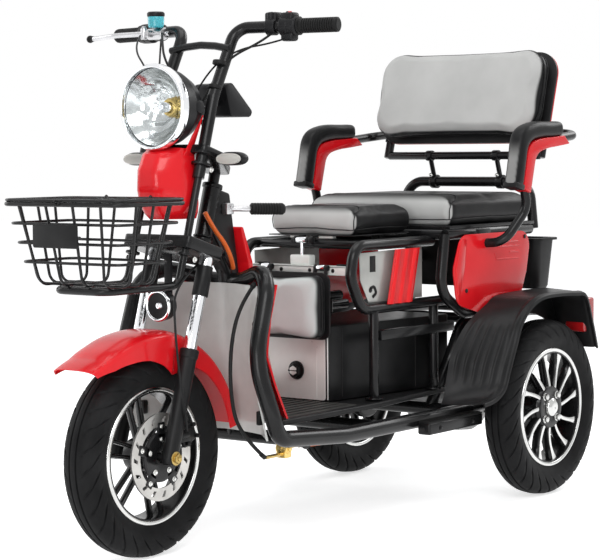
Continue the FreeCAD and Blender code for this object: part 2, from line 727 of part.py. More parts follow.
def basket_hoop(level, diameter):
    """A hoop of the basket; level 1 is the rim and 0 the floor"""
    inset = BASKET_TAPER * (1 - level)
    z = BASKET_FLOOR_Z + (BASKET_RIM_Z - BASKET_FLOOR_Z) * level
    return wire_hoop(BASKET_REAR_X + inset, BASKET_FRONT_X - inset, BASKET_HALF_WIDTH - inset, z, diameter)


hoops = [basket_hoop(1, BASKET_RIM_D)] + [basket_hoop(level, BASKET_WIRE_D) for level in (0.28, 0.52, 0.76)]
ribs = []
for share in (-0.7, -0.23, 0.23, 0.7):
    y = share * BASKET_HALF_WIDTH
    low = share * (BASKET_HALF_WIDTH - BASKET_TAPER)
    ribs.append(tube([V(BASKET_FRONT_X, y, BASKET_RIM_Z), V(BASKET_FRONT_X - BASKET_TAPER, low, BASKET_FLOOR_Z),
                      V(BASKET_REAR_X + BASKET_TAPER, low, BASKET_FLOOR_Z), V(BASKET_REAR_X, y, BASKET_RIM_Z)],
                     BASKET_WIRE_D, WIRE_BEND, WIRE_FLATS))
for share in (-0.5, 0.5):
    x = mid_x + share * (BASKET_FRONT_X - BASKET_REAR_X) / 2
    low = mid_x + share * ((BASKET_FRONT_X - BASKET_REAR_X) / 2 - BASKET_TAPER)
    ribs.append(tube([V(x, BASKET_HALF_WIDTH, BASKET_RIM_Z), V(low, BASKET_HALF_WIDTH - BASKET_TAPER, BASKET_FLOOR_Z),
                      V(low, BASKET_TAPER - BASKET_HALF_WIDTH, BASKET_FLOOR_Z), V(x, -BASKET_HALF_WIDTH, BASKET_RIM_Z)],
                     BASKET_WIRE_D, WIRE_BEND, WIRE_FLATS))
wires = hoops + ribs
plate_x = FRONT_END_X - PLATE_THICKNESS
plate = block(plate_x, FRONT_END_X, -PLATE_WIDTH / 2, PLATE_WIDTH / 2, 644, 644 + PLATE_HEIGHT)
plate_hooks = [block(BASKET_FRONT_X - 22, plate_x + 1, side * 35 - 3, side * 35 + 3, 661, 667) for side in (1, -1)]
eyes = []
for side in (1, -1):
    y = side * LID_EYE_Y
    eye = block(BASKET_REAR_X - 6, BASKET_REAR_X + 6, y - 5, y + 5, BASKET_RIM_Z, lid_z + 6)
    eyes.append(eye.cut(pin(V(BASKET_REAR_X, y - 9, lid_z), V(BASKET_REAR_X, y + 9, lid_z), BASKET_WIRE_D + 2 * LID_GAP)))
save("basket", [joined(wires + eyes + [plate] + plate_hooks)])

# Basket carrier: the stays come down beside the crown and bend forward under the basket floor
carrier_z = BASKET_FLOOR_Z - BASKET_WIRE_D / 2 - STAY_D / 2 - 0.3
carrier_points = []
stay_top = steer_point(UPPER_CLAMP_Z - UPPER_CLAMP_THICKNESS - 6, RISER_FORWARD, RISER_HALF_SPACING)
stay_low = steer_point(carrier_z, RISER_FORWARD, RISER_HALF_SPACING)
front_x = BASKET_FRONT_X - BASKET_TAPER - 20
carrier = tube([stay_top, stay_low, V(front_x, RISER_HALF_SPACING, carrier_z), V(front_x, -RISER_HALF_SPACING, carrier_z),
                V(stay_low.x, -RISER_HALF_SPACING, carrier_z), V(stay_top.x, -RISER_HALF_SPACING, stay_top.z)],
               STAY_D, 30)
save("handlebar", [joined([bars, carrier])])
apron = apron_shell(0).cut(apron_shell(APRON_WALL))
apron_bracket = block(APRON_SIDE_X - 46 - 4, APRON_SIDE_X - 46, -RISER_HALF_SPACING, RISER_HALF_SPACING, 760, 780)
apron = joined([apron, apron_bracket])
bucket_room = Part.makeCylinder(LAMP_D / 2 + 0.3, 200, V(LAMP_X - 150, 0, LAMP_Z), V(1, 0, 0))
save("apron", [apron.cut(bucket_room).cut([bars, carrier, upper])])

# Basket lid: a flat wire frame hinged on the rear rim

def lid_frame():
    """The lid's hoop with four wires across it"""
    pieces = [wire_hoop(BASKET_REAR_X, BASKET_FRONT_X, BASKET_HALF_WIDTH, lid_z, BASKET_WIRE_D)]
    for share in (-0.6, -0.2, 0.2, 0.6):
        y = share * BASKET_HALF_WIDTH
        pieces.append(tube([V(BASKET_REAR_X, y, lid_z), V(BASKET_FRONT_X, y, lid_z)], BASKET_WIRE_D, 0, WIRE_FLATS))
    return joined(pieces)


save("basket_lid", [lid_frame()])


# Front mudguard: a crowned channel round the wheel, with deep sides at the fork and a flared tip
# Each row: degrees round the wheel, outer radius, half width, depth of the side
GUARD_ROWS = [(44, 284, 58, 24), (52, 270, 60, 30), (64, 262, 62, 40), (78, 259, 62, 54), (90, 258, 61, 72),
              (98, 258, 60, 88), (102, 258, 50, 90), (110, 257, 50, 78), (118, 257, 50, 56), (132, 257, 52, 46),
              (150, 256, 54, 40), (GUARD_REAR_DEG, 256, 54, 38)]
GUARD_CROWN = 11.0


def guard_row(row, setback):
    """Points across the guard at one angle, set back by its wall"""
    degrees, radius, half, side_depth = row
    a = math.radians(degrees)
    ahead = V(math.cos(a), 0, math.sin(a))
    high = radius - setback
    wide = half - setback
    points = [(-wide, high - side_depth), (-wide, high - 2 * GUARD_CROWN), (-wide * 0.72, high - GUARD_CROWN / 2),
              (0, high), (wide * 0.72, high - GUARD_CROWN / 2), (wide, high - 2 * GUARD_CROWN), (wide, high - side_depth)]
    return [ahead * r + V(0, y, 0) for y, r in points]


def guard():
    """The mudguard's shell, with a lug on each side that the fork's leg is bolted to"""
    shell = faceted([guard_row(row, 0) + guard_row(row, GUARD_THICKNESS)[::-1] for row in GUARD_ROWS])
    shell.translate(V(FRONT_AXLE_X, 0, WHEEL_RADIUS))
    inner = GUARD_ROWS[6][2] - GUARD_THICKNESS / 2
    lugs = [rod(fork_line(GUARD_LUG_RISE, side * inner), fork_line(GUARD_LUG_RISE, side * (FORK_HALF_SPACING - 8)), GUARD_LUG_D)
            for side in (1, -1)]
    return joined([shell] + lugs)


leg_room = []
for side in (1, -1):
    y = side * FORK_HALF_SPACING
    leg_room.append(rod(fork_line(-FORK_LEG_FOOT, y), fork_line(FORK_LEG_TOP, y), FORK_LEG_D + 2 * REST_GAP))
    collar_foot = fork_line(FORK_LEG_TOP - FORK_COLLAR_LENGTH - REST_GAP, y)
    leg_room.append(rod(collar_foot, fork_line(FORK_LEG_TOP + 80, y), FORK_COLLAR_D + 2 * REST_GAP))
save("front_mudguard", [guard().cut(leg_room).cut(legs)])

# Horn on a bracket ahead of the crown
horn_back = steer_point(512, RISER_FORWARD - 60)
horn = joined([rod(horn_back, horn_back + V(HORN_LENGTH, 0, 0), HORN_D),
               block(horn_back.x - 6, horn_back.x + 8, -8, 8, horn_back.z, crown_low + 30)])
save("horn", [horn.cut(joined([crown, upper]))])


# Main frame: head tube and gusset, one bent tube down both sides to the floor, cross tubes and rear rails
side_points = [V(NECK_X, NECK_HALF_WIDTH, NECK_Z), V(SHOULDER_X, SHOULDER_HALF_WIDTH, SHOULDER_Z),
               V(KNEE_X, KNEE_HALF_WIDTH, KNEE_Z), V(FLOOR_FRONT_X - 8, FRAME_HALF_WIDTH, 285),
               V(FLOOR_FRONT_X - 30, FRAME_HALF_WIDTH, FLOOR_TUBE_Z + 18), V(140, FRAME_HALF_WIDTH, FLOOR_TUBE_Z),
               V(FRAME_REAR_X + 130, FRAME_HALF_WIDTH, FLOOR_TUBE_Z)]
right_points = [V(point.x, -point.y, point.z) for point in side_points]
main_tube = tube(side_points[::-1] + right_points, FRAME_TUBE_D, 70)
tube_room = tube(side_points[::-1] + right_points, FRAME_TUBE_D + 2 * REST_GAP, 70)
head_tube = rod(steer_point(HEAD_BOTTOM_Z), steer_point(HEAD_TOP_Z), HEAD_TUBE_D)
steerer_room = pin(steer_point(HEAD_BOTTOM_Z - 20), steer_point(HEAD_TOP_Z + 20), STEERER_D + 2 * BEARING_GAP)
neck_points = [steer_point(HEAD_BOTTOM_Z + 30) + V(-12, 0, 0), V(NECK_X + 12, 0, NECK_Z + 30), V(NECK_X - 4, 0, 470),
               V(250, 0, FLOOR_TUBE_Z)]
neck = tube(neck_points, NECK_TUBE_D, 60)
neck_room = tube(neck_points, NECK_TUBE_D + 2 * REST_GAP, 60)
gusset_top = steer_point(HEAD_TOP_Z - 14)
gusset_low = steer_point(HEAD_BOTTOM_Z + 6)
gusset = side_profile([(gusset_top.x - 8, gusset_top.z), (gusset_low.x - 8, gusset_low.z), (NECK_X + 14, NECK_Z + 6),
                       (NECK_X - 26, NECK_Z + 2), (gusset_top.x - 44, gusset_top.z - 10)], 8, -GUSSET_HALF_WIDTH, GUSSET_HALF_WIDTH)
cross_tubes = [rod(V(x, -FRAME_HALF_WIDTH, FLOOR_TUBE_Z), V(x, FRAME_HALF_WIDTH, FLOOR_TUBE_Z), CROSS_TUBE_D)
               for x in (250, 0, FRAME_REAR_X + 150)]
rear_rails = [tube([V(FRAME_REAR_X + 150, side * 120, FLOOR_TUBE_Z), V(-370, side * SUB_RAIL_HALF_WIDTH, SUB_RAIL_Z - 90),
                    V(-430, side * SUB_RAIL_HALF_WIDTH, SUB_RAIL_Z), V(-740, side * SUB_RAIL_HALF_WIDTH, SUB_RAIL_Z)],
                   SUB_RAIL_D, 60) for side in (1, -1)]
rear_cross = [rod(V(x, -SUB_RAIL_HALF_WIDTH - 30, SUB_RAIL_Z), V(x, SUB_RAIL_HALF_WIDTH + 30, SUB_RAIL_Z), SUB_CROSS_D)
              for x in (-460, -735)]
step_bars = []
for side in (1, -1):
    y0, y1 = sorted((side * (FRAME_HALF_WIDTH + 12), side * STEP_OUTER_Y))
    step_bars.append(block(STEP_REAR_X, STEP_FRONT_X, y0, y1, FLOOR_TUBE_Z - 29, FLOOR_TUBE_Z + 3, 5))
frame = joined([main_tube, head_tube, neck, gusset] + cross_tubes + rear_rails + rear_cross + step_bars)
frame = frame.cut(steerer_room)
save("main_frame", [frame])

# Seat frame: a loop of tube under each side of the saddle, uprights beside the bench and cross tubes
def seat_loop(side):
    y = side * SEAT_RAIL_HALF_WIDTH
    return tube([V(SEAT_RAIL_REAR_X - 24, y, SEAT_RAIL_TOP_Z), V(SEAT_RAIL_FRONT_X - 14, y, SEAT_RAIL_TOP_Z),
                 V(SEAT_RAIL_FRONT_X, y, (SEAT_RAIL_TOP_Z + SEAT_RAIL_BOTTOM_Z) / 2),
                 V(SEAT_RAIL_FRONT_X - 40, y, SEAT_RAIL_BOTTOM_Z), V(-345, y, SEAT_RAIL_BOTTOM_Z)], SEAT_RAIL_D, 46)


def upright(side):
    y = side * (BENCH_HALF_WIDTH - 12)
    return tube([V(SEAT_RAIL_REAR_X - 4, y, BENCH_BOTTOM_Z - 14), V(SEAT_RAIL_REAR_X + 18, y, 500),
                 V(-350, y, 446), V(-440, y, 446)], SEAT_RAIL_D, 60)


bench_rail_z = BENCH_BOTTOM_Z - 14
bench_rails = [rod(V(SEAT_RAIL_REAR_X - 4, side * (BENCH_HALF_WIDTH - 12), bench_rail_z),
                   V(BENCH_REAR_X + 20, side * (BENCH_HALF_WIDTH - 12), bench_rail_z), SEAT_RAIL_D) for side in (1, -1)]
bench_cross = [rod(V(x, 12 - BENCH_HALF_WIDTH, bench_rail_z), V(x, BENCH_HALF_WIDTH - 12, bench_rail_z), SEAT_RAIL_D)
               for x in (SEAT_RAIL_REAR_X - 24, BENCH_REAR_X + 20)]
saddle_cross = [rod(V(x, -SEAT_RAIL_HALF_WIDTH, SEAT_RAIL_TOP_Z), V(x, SEAT_RAIL_HALF_WIDTH, SEAT_RAIL_TOP_Z), SEAT_RAIL_D)
                for x in (-30, -200)]
legs_low = [rod(V(x, side * SEAT_RAIL_HALF_WIDTH, SEAT_RAIL_BOTTOM_Z), V(x, side * SEAT_RAIL_HALF_WIDTH, FLOOR_TOP_Z + 0.3),
                SEAT_RAIL_D) for side in (1, -1) for x in (-60, -300)]
rear_posts = [rod(V(BENCH_REAR_X + 20, side * SUB_RAIL_HALF_WIDTH, SUB_RAIL_Z + SUB_RAIL_D / 2 - 2),
                  V(BENCH_REAR_X + 20, side * SUB_RAIL_HALF_WIDTH, bench_rail_z), SEAT_RAIL_D) for side in (1, -1)]
bench_plate = block(BENCH_REAR_X + 6, BENCH_FRONT_X - 6, 6 - BENCH_HALF_WIDTH, BENCH_HALF_WIDTH - 6,
                    BENCH_BOTTOM_Z - 3, BENCH_BOTTOM_Z + 6)
buffers = [rod(V(-200, side * 60, SEAT_RAIL_TOP_Z), V(-200, side * 60, SADDLE_BOTTOM_Z - 3 - REST_GAP), 20) for side in (1, -1)]
strips = [block(-372, -74, side * SEAT_RAIL_HALF_WIDTH - 12, side * SEAT_RAIL_HALF_WIDTH + 12, 402, 424)
          for side in (1, -1)]
seat_frame = joined([seat_loop(1), seat_loop(-1), upright(1), upright(-1)] + bench_rails + bench_cross
                    + saddle_cross + legs_low + rear_posts + strips + buffers + [bench_plate])
seat_frame = seat_frame.cut(frame)
save("seat_frame", [seat_frame])


# Floor pan with a ribbed mat, over the floor tubes
floor_side = [V(BOX_FRONT_X - 400, 150, 0), V(BOX_FRONT_X - 60, FLOOR_HALF_WIDTH, 0), V(330, FLOOR_HALF_WIDTH, 0),
              V(322, 154, 0), V(271, 115, 0)]
floor_outline = floor_side + [V(241, 0, 0)] + [V(point.x, -point.y, 0) for point in floor_side[::-1]]
floor_face = Part.Face(Part.makePolygon(floor_outline + [floor_outline[0]]))
floor = floor_face.extrude(V(0, 0, FLOOR_THICKNESS))
floor.translate(V(0, 0, FLOOR_TOP_Z - FLOOR_THICKNESS))
ribs_x = [MAT_RIB_FIRST_X + MAT_RIB_PITCH * i for i in range(MAT_RIBS)]
mat_ribs = [block(x - MAT_RIB_WIDTH / 2, x + MAT_RIB_WIDTH / 2, -MAT_RIB_HALF_LENGTH, MAT_RIB_HALF_LENGTH, FLOOR_TOP_Z - 1,
                  FLOOR_TOP_Z + MAT_RIB_HEIGHT) for x in ribs_x]
floor = joined([floor] + mat_ribs).cut([tube_room, neck_room, frame])
save("floor_pan", [floor])


# Leg shield: a grey outer shell bent round the front wheel, and a red inner panel
def shield_outline(z, centre_x, side_x, half):
    return [V(side_x, -half, z), V(centre_x + 30, -half * 0.62, z), V(centre_x, 0, z), V(centre_x + 30, half * 0.62, z),
            V(side_x, half, z)]


def shield_skin(setback, wall, rows):
    """A bent sheet: each row gives a height, the middle's and the edges' X, and a half width"""
    sections = []
    for z, centre_x, side_x, half in rows:
        front = shield_outline(z, centre_x - setback, side_x - setback, half)
        back = shield_outline(z, centre_x - setback - wall, side_x - setback - wall, half)
        sections.append(front + back[::-1])
    return faceted(sections)


SHIELD_ROWS = ((232, 246, 372, 186), (320, 248, 388, 176), (400, 250, 392, 158), (480, 253, 368, 152), (548, 255, 334, 150))
outer_shield = shield_skin(0, SHIELD_WALL, SHIELD_ROWS).cut([tube_room, neck_room, frame])
save("leg_shield", [outer_shield])
INNER_ROWS = ((FLOOR_TOP_Z + 0.3, 246, 330, 186), (340, 248, 346, 168), (400, 250, 352, 150), (480, 253, 332, 145), (548, 255, 303, 140))
inner_shield = shield_skin(26, SHIELD_WALL, INNER_ROWS)
spine = side_profile([(230, 560), (234, 590), (258.7, 664), (250, 668), (218, 590), (216, 540)], 2, -32, 32)
save("inner_shield", [joined([inner_shield, spine]).cut([tube_room, neck_room, frame])])


# Seat box: a closed case, narrower at the front, with the battery inside
def box_shell(inset):
    x0 = BOX_REAR_X + inset
    x1 = BOX_FRONT_X - inset
    low = FLOOR_TOP_Z + 0.3 + inset
    high = BOX_TOP_Z - inset
    corners = [V(x0, inset - BOX_REAR_HALF_WIDTH, low), V(x1, inset - BOX_FRONT_HALF_WIDTH, low),
               V(x1, BOX_FRONT_HALF_WIDTH - inset, low), V(x0, BOX_REAR_HALF_WIDTH - inset, low)]
    face = Part.Face(Part.makePolygon(corners + [corners[0]]))
    return face.extrude(V(0, 0, high - low))


box = box_shell(0)
box = box.makeFillet(14, [edge for edge in box.Edges if abs(edge.tangentAt(edge.FirstParameter).z) > 0.9])
box = box.cut(box_shell(BOX_WALL)).cut(joined([seat_frame, frame]))
save("seat_box", [box])
battery_low = FLOOR_TOP_Z + 0.3 + BOX_WALL + 0.3
save("battery", [block(BOX_FRONT_X - 30 - BATTERY_LENGTH, BOX_FRONT_X - 30, -BATTERY_WIDTH / 2, BATTERY_WIDTH / 2,
                       battery_low, battery_low + BATTERY_HEIGHT)])
latch = joined([block(BOX_FRONT_X, BOX_FRONT_X + 4, -22, 22, 318, 354), block(BOX_FRONT_X, BOX_FRONT_X + 16, -10, 14, 322, 344, 3)])
save("box_latch", [latch])

# Shelf across the front of the seat frame, carrying the pad's and the saddle's hinges
shelf = block(SHELF_FRONT_X - SHELF_DEPTH, SHELF_FRONT_X, -SHELF_HALF_WIDTH, SHELF_HALF_WIDTH, SHELF_Z - SHELF_THICKNESS, SHELF_Z)
shelf_lip = block(SHELF_FRONT_X - SHELF_THICKNESS, SHELF_FRONT_X, -SHELF_HALF_WIDTH, SHELF_HALF_WIDTH, SHELF_Z - 20, SHELF_Z)
hinge_block = block(SADDLE_HINGE_X - 14, SADDLE_HINGE_X + 10, -27, 27, SHELF_Z, SHELF_Z + 22)
post = rod(V(SADDLE_HINGE_X, 0, SHELF_Z + 20), V(SADDLE_HINGE_X, 0, SADDLE_HINGE_Z), 8)
barrel = rod(V(SADDLE_HINGE_X, -SADDLE_HINGE_LENGTH / 2, SADDLE_HINGE_Z), V(SADDLE_HINGE_X, SADDLE_HINGE_LENGTH / 2, SADDLE_HINGE_Z),
             SADDLE_HINGE_D)
saddle_pin_room = rod(V(SADDLE_HINGE_X, -60, SADDLE_HINGE_Z), V(SADDLE_HINGE_X, 60, SADDLE_HINGE_Z), 8.4)
pad_knuckles = []
for side in (1, -1):
    knuckle = rod(V(PAD_HINGE_X, side * 78 - 10, PAD_HINGE_Z), V(PAD_HINGE_X, side * 78 + 10, PAD_HINGE_Z), PAD_HINGE_D)
    leaf = block(SHELF_FRONT_X - 1, PAD_HINGE_X, side * 78 - 10, side * 78 + 10, PAD_HINGE_Z - 2, PAD_HINGE_Z + 2)
    pad_knuckles += [knuckle, leaf]
shelf_node = joined([shelf, shelf_lip, hinge_block, post, barrel] + pad_knuckles)
pad_pin_room = [rod(V(PAD_HINGE_X, side * 78 - 30, PAD_HINGE_Z), V(PAD_HINGE_X, side * 78 + 30, PAD_HINGE_Z), 4.4)
                for side in (1, -1)]
save("hinge_shelf", [shelf_node.cut([saddle_pin_room] + pad_pin_room).cut(seat_frame)])

# Front pad: cushion on a board, hung from two pins on the shelf's edge
pad_board = block(PAD_BACK_X, PAD_BACK_X + PAD_BOARD, -PAD_HALF_WIDTH + 6, PAD_HALF_WIDTH - 6, PAD_BOTTOM_Z + 4, PAD_TOP_Z - 4)
pad_arms = []
for side in (1, -1):
    for shift in (-15, 15):
        y = side * 78 + shift
        pad_arms.append(joined([rod(V(PAD_HINGE_X, y - 4, PAD_HINGE_Z), V(PAD_HINGE_X, y + 4, PAD_HINGE_Z), PAD_HINGE_D),
                                block(PAD_HINGE_X, PAD_BACK_X + PAD_BOARD, y - 4, y + 4, PAD_HINGE_Z - 4, PAD_HINGE_Z + 4),
                                block(PAD_BACK_X, PAD_BACK_X + PAD_BOARD, y - 4, y + 4, PAD_TOP_Z - 10, PAD_HINGE_Z + 4)]))
pad_pins = [rod(V(PAD_HINGE_X, side * 78 - 19, PAD_HINGE_Z), V(PAD_HINGE_X, side * 78 + 19, PAD_HINGE_Z), 4.0) for side in (1, -1)]
pad_feet = [rod(V(PAD_BACK_X + PAD_BOARD, side * 50, PAD_BOTTOM_Z + 14), V(BOX_FRONT_X + 0.3, side * 50, PAD_BOTTOM_Z + 14), PAD_FOOT_D)
            for side in (1, -1)]
save("pad_board", [joined([pad_board] + pad_arms + pad_pins + pad_feet)])
pad = block(PAD_BACK_X + PAD_BOARD, PAD_BACK_X + PAD_BOARD + PAD_THICKNESS, -PAD_HALF_WIDTH, PAD_HALF_WIDTH, PAD_BOTTOM_Z, PAD_TOP_Z, 20)
save("front_pad", [pad])

# Saddle: a steel base plate with hinge forks at its front, and a cushion
base_z = SADDLE_BOTTOM_Z - 3
saddle_base = block(SADDLE_REAR_X + 8, SADDLE_FRONT_X - 6, 8 - SADDLE_HALF_WIDTH, SADDLE_HALF_WIDTH - 8, base_z, SADDLE_BOTTOM_Z)
forks = []
for side in (1, -1):
    y = side * (SADDLE_HINGE_LENGTH / 2 + 4.5)
    forks.append(block(SADDLE_FRONT_X - 20, SADDLE_HINGE_X + 2, y - 4, y + 4, base_z - 3, base_z))
    forks.append(rod(V(SADDLE_HINGE_X, y - 4, SADDLE_HINGE_Z), V(SADDLE_HINGE_X, y + 4, SADDLE_HINGE_Z), SADDLE_HINGE_D))
saddle_pin = rod(V(SADDLE_HINGE_X, -24, SADDLE_HINGE_Z), V(SADDLE_HINGE_X, 24, SADDLE_HINGE_Z), 8)
save("saddle_base", [joined([saddle_base, saddle_pin] + forks)])
save("saddle", [pad_block(SADDLE_REAR_X, SADDLE_FRONT_X, -SADDLE_HALF_WIDTH, SADDLE_HALF_WIDTH, SADDLE_BOTTOM_Z, SADDLE_TOP_Z,
                           34, 16)])

# Bench: one wide cushion on a plate over the rear seat rails
bench = pad_block(BENCH_REAR_X, BENCH_FRONT_X, -BENCH_HALF_WIDTH, BENCH_HALF_WIDTH, BENCH_BOTTOM_Z + 6, BENCH_TOP_Z, 34, 16)
save("bench", [bench])


# Arms: a bent tube from a mount under the bench up to the backrest, with a red shell and a pad
arm_tubes = []
arm_shells = []
arm_pads = []
PAD_LINE = [(-385, 742), (-413, 826), (-478, 880), (-610, 894)]
MID_LINE = [(-424, 734), (-446, 806), (-496, 848), (-614, 858)]
LOW_LINE = [(-458, 724), (-478, 790), (-520, 826), (-640, 838)]
for side in (1, -1):
    y = side * ARM_Y
    pad_solid = side_profile(PAD_LINE + MID_LINE[::-1], 9, y - ARM_WIDTH / 2, y + ARM_WIDTH / 2)
    shell = side_profile(MID_LINE + LOW_LINE[::-1], 5, y - ARM_WIDTH / 2 + 4, y + ARM_WIDTH / 2 - 4)
    mount = V(ARM_MOUNT_X, side * (BENCH_HALF_WIDTH - 12), bench_rail_z - 26)
    low = tube([mount, V(ARM_MOUNT_X - 2, side * (ARM_Y - 34), bench_rail_z - 22), V(-468, y, 690), V(-448, y, 752)],
               ARM_TUBE_D, 50)
    boss = rod(V(ARM_MOUNT_X, side * (BENCH_HALF_WIDTH - 12), bench_rail_z - 46), V(ARM_MOUNT_X, side * (BENCH_HALF_WIDTH - 12), bench_rail_z - 8), ARM_MOUNT_D)
    high = tube([V(-600, y, 850), V(-706, y, 860), V(-684, side * BACK_POST_Y, 866)], ARM_TUBE_D, 30)
    arm_tubes.append(joined([low, boss]).cut(seat_frame))
    arm_tubes.append(high)
    arm_shells.append(shell.cut([low, high, pad_solid]))
    arm_pads.append(pad_solid.cut(high))
save("arm_shells", arm_shells)
save("arm_pads", arm_pads)

# Backrest: rounded cushion in a red shell on two posts, reclined
recline = BACK_RECLINE_DEG


def reclined(shape):
    shape.rotate(V(0, 0, 0), V(0, 1, 0), -recline)
    shape.translate(V(BACK_FOOT_X, 0, BACK_FOOT_Z))
    return shape


def back_slab(x0, x1, inset, corner):
    y = BACK_HALF_WIDTH - inset
    corners = [V(x0, -y, inset), V(x0, y, inset), V(x0, y, BACK_HEIGHT - inset), V(x0, -y, BACK_HEIGHT - inset)]
    return Part.Face(bent_wire(corners, corner, True)).extrude(V(x1 - x0, 0, 0))


cushion = back_slab(0, BACK_THICKNESS, 0, BACK_CORNER)
cushion = cushion.makeChamfer(14, [edge for edge in cushion.Edges if edge.BoundBox.XMin > BACK_THICKNESS - 1])
save("backrest", [reclined(cushion)])
save("backrest_shell", [reclined(back_slab(-BACK_SHELL, 0, 2, BACK_CORNER))])
back_bits = []
for side in (1, -1):
    back_bits.append(rod(V(-BACK_SHELL - BACK_TUBE_D / 2, side * BACK_POST_Y, -30), V(-BACK_SHELL - BACK_TUBE_D / 2, side * BACK_POST_Y, BACK_HEIGHT - 60), BACK_TUBE_D))
back_bits.append(rod(V(-BACK_SHELL - BACK_TUBE_D / 2, -BACK_POST_Y, -24), V(-BACK_SHELL - BACK_TUBE_D / 2, BACK_POST_Y, -24), BACK_TUBE_D - 2))
back_frame = reclined(joined(back_bits))
rail_points = [V(BENCH_REAR_X - 12, 195, bench_rail_z), V(BENCH_REAR_X - 20, 179, 745), V(BENCH_REAR_X - 20, -179, 745),
               V(BENCH_REAR_X - 12, -195, bench_rail_z)]
back_rail = tube(rail_points, SEAT_RAIL_D, 50)
foot = reclined(Part.makeSphere(1, V(-BACK_SHELL - BACK_TUBE_D / 2, 0, -24))).BoundBox.Center
clamps = [joined([rod(V(BENCH_REAR_X - 20, side * 98 - 9, 745), V(BENCH_REAR_X - 20, side * 98 + 9, 745), SEAT_RAIL_D + 10),
                  rod(V(BENCH_REAR_X - 20, side * 98, 745), V(foot.x, side * 98, foot.z), 12)]) for side in (1, -1)]
back_frame = joined([back_frame, back_rail] + clamps + arm_tubes).cut(seat_frame)
save("back_frame", [back_frame])

# Rear side panels: red shells beside the bench, and the grey plates with red folded sheets under the saddle
PANEL_OUTLINE = [(-309, 630), (-622, 630), (-600, 533), (-560, 446), (-400, 442), (-290, 470), (-276, 552)]
panels = [side_profile(PANEL_OUTLINE, 14, side * SIDE_PANEL_Y - SIDE_PANEL_WALL / 2, side * SIDE_PANEL_Y + SIDE_PANEL_WALL / 2)
          for side in (1, -1)]
save("side_panels", [panel.cut([seat_frame] + arm_tubes) for panel in panels])
side_plates = []
folded_sheets = []
for side in (1, -1):
    y = side * (SEAT_RAIL_HALF_WIDTH - 4)
    sheet = side_profile([(-12, 600), (-258, 604), (-258, 488), (-46, 488), (-14, 540)], 12, y - 1, y + 1)
    hole = side_profile([(-50, 592), (-72, 592), (-72, 556), (-50, 556)], 3, y - 3, y + 3)
    side_plates.append(sheet.cut(hole).cut(seat_frame))
    rib = side_profile([(-128, 604), (-226, 604), (-196, 482), (-98, 482)], 4, side * (SEAT_RAIL_HALF_WIDTH + 13.3) - 3, side * (SEAT_RAIL_HALF_WIDTH + 13.3) + 3)
    folded_sheets.append(rib.cut(seat_frame))
save("side_plates", side_plates)
save("folded_sheets", folded_sheets)


# Rear bin: an open box with a rolled rim behind the bench
def bin_body(inset, open_top):
    high = BIN_TOP_Z + (10 if open_top else 0)
    low = BIN_BOTTOM_Z + inset
    rows = []
    for z, taper in ((low, BIN_TAPER), (high, 0)):
        x0 = BIN_REAR_X + BIN_RIM + inset + taper
        x1 = BIN_FRONT_X - inset - taper
        y = BIN_HALF_WIDTH - inset - taper
        corners = [V(x0, -y, z), V(x1, -y, z), V(x1, y, z), V(x0, y, z)]
        rows.append(corners)
    return faceted(rows)


bin_rim = block(BIN_REAR_X, BIN_FRONT_X + BIN_RIM, -BIN_HALF_WIDTH - BIN_RIM, BIN_HALF_WIDTH + BIN_RIM, BIN_TOP_Z - 6, BIN_TOP_Z)
post_back_x = BENCH_REAR_X + 20 - SEAT_RAIL_D / 2
bin_hangers = [block(BIN_FRONT_X - 6, post_back_x - REST_GAP, side * SUB_RAIL_HALF_WIDTH - 10, side * SUB_RAIL_HALF_WIDTH + 10,
                     540, 570) for side in (1, -1)]
rear_bin = joined([bin_body(0, False), bin_rim] + bin_hangers).cut(bin_body(BIN_WALL, True))
save("rear_bin", [rear_bin.cut([frame, seat_frame])])


# Rear mudguards: a skin from the lip to the body, wider at its ribbed front, over walls cut out round the tyre
# Each row: the lip's X and Z at the outside, and the inner edge's X and Z
FENDER_ROWS = [(-218, 258, -204, 250), (-262, 264, -216, 272), (-301, 284, -228, 312), (-322, 324, -245, 360),
               (-350, 378, -285, 405), (-376, 426, -330, 436), (-424, 466, -395, 464), (-493, 485, -450, 484),
               (-634, 483, -634, 488), (-686, 472, -686, 478), (-716, 410, -716, 412), (-742, 341, -742, 341)]
FENDER_RIBS = (0.14, 0.3, 0.46, 0.62, 0.78)
FENDER_RAMP_END = 6


def set_in(x, z, depth):
    """A point moved towards the wheel's axle"""
    way = V(x - REAR_AXLE_X, 0, z - WHEEL_RADIUS)
    way.normalize()
    return (x - way.x * depth, z - way.z * depth)


def fender_wall(line, y0, y1):
    """A flat side under a line, cut out round the tyre"""
    corners = [V(x, y0, z) for x, z in line]
    sheet = Part.Face(Part.makePolygon(corners + [corners[0]])).extrude(V(0, y1 - y0, 0))
    arch = Part.makeCylinder(WHEEL_RADIUS + FENDER_CLEARANCE, 2 * FENDER_OUTER_Y, V(REAR_AXLE_X, 0, WHEEL_RADIUS), V(0, 1, 0))
    return sheet.cut(arch)


def skin_row(index, ribbed):
    """Points across the skin at one row: its top with raised ribs, then its underside"""
    x, z, inner_x, inner_z = FENDER_ROWS[index]
    y1 = FENDER_OUTER_Y - FENDER_BEAD
    half = FENDER_RIB_WIDTH / 2 / (y1 - FENDER_INNER_Y)
    rise = FENDER_RIB_HEIGHT if 1 < index < 6 else 0
    spots = [(0, 0)]
    for share in FENDER_RIBS if ribbed else ():
        spots += [(share - half, 0), (share - half, rise), (share + half, rise), (share + half, 0)]
    spots += [(1, 0), (1, -FENDER_WALL), (0, -FENDER_WALL)]
    points = []
    for share, height in spots:
        px = inner_x + (x - inner_x) * share
        pz = inner_z + (z - inner_z) * share
        if index in (0, FENDER_RAMP_END):
            pz += height
        else:
            px, pz = set_in(px, pz, -height)
        points.append(V(px, FENDER_INNER_Y + (y1 - FENDER_INNER_Y) * share, pz))
    return points


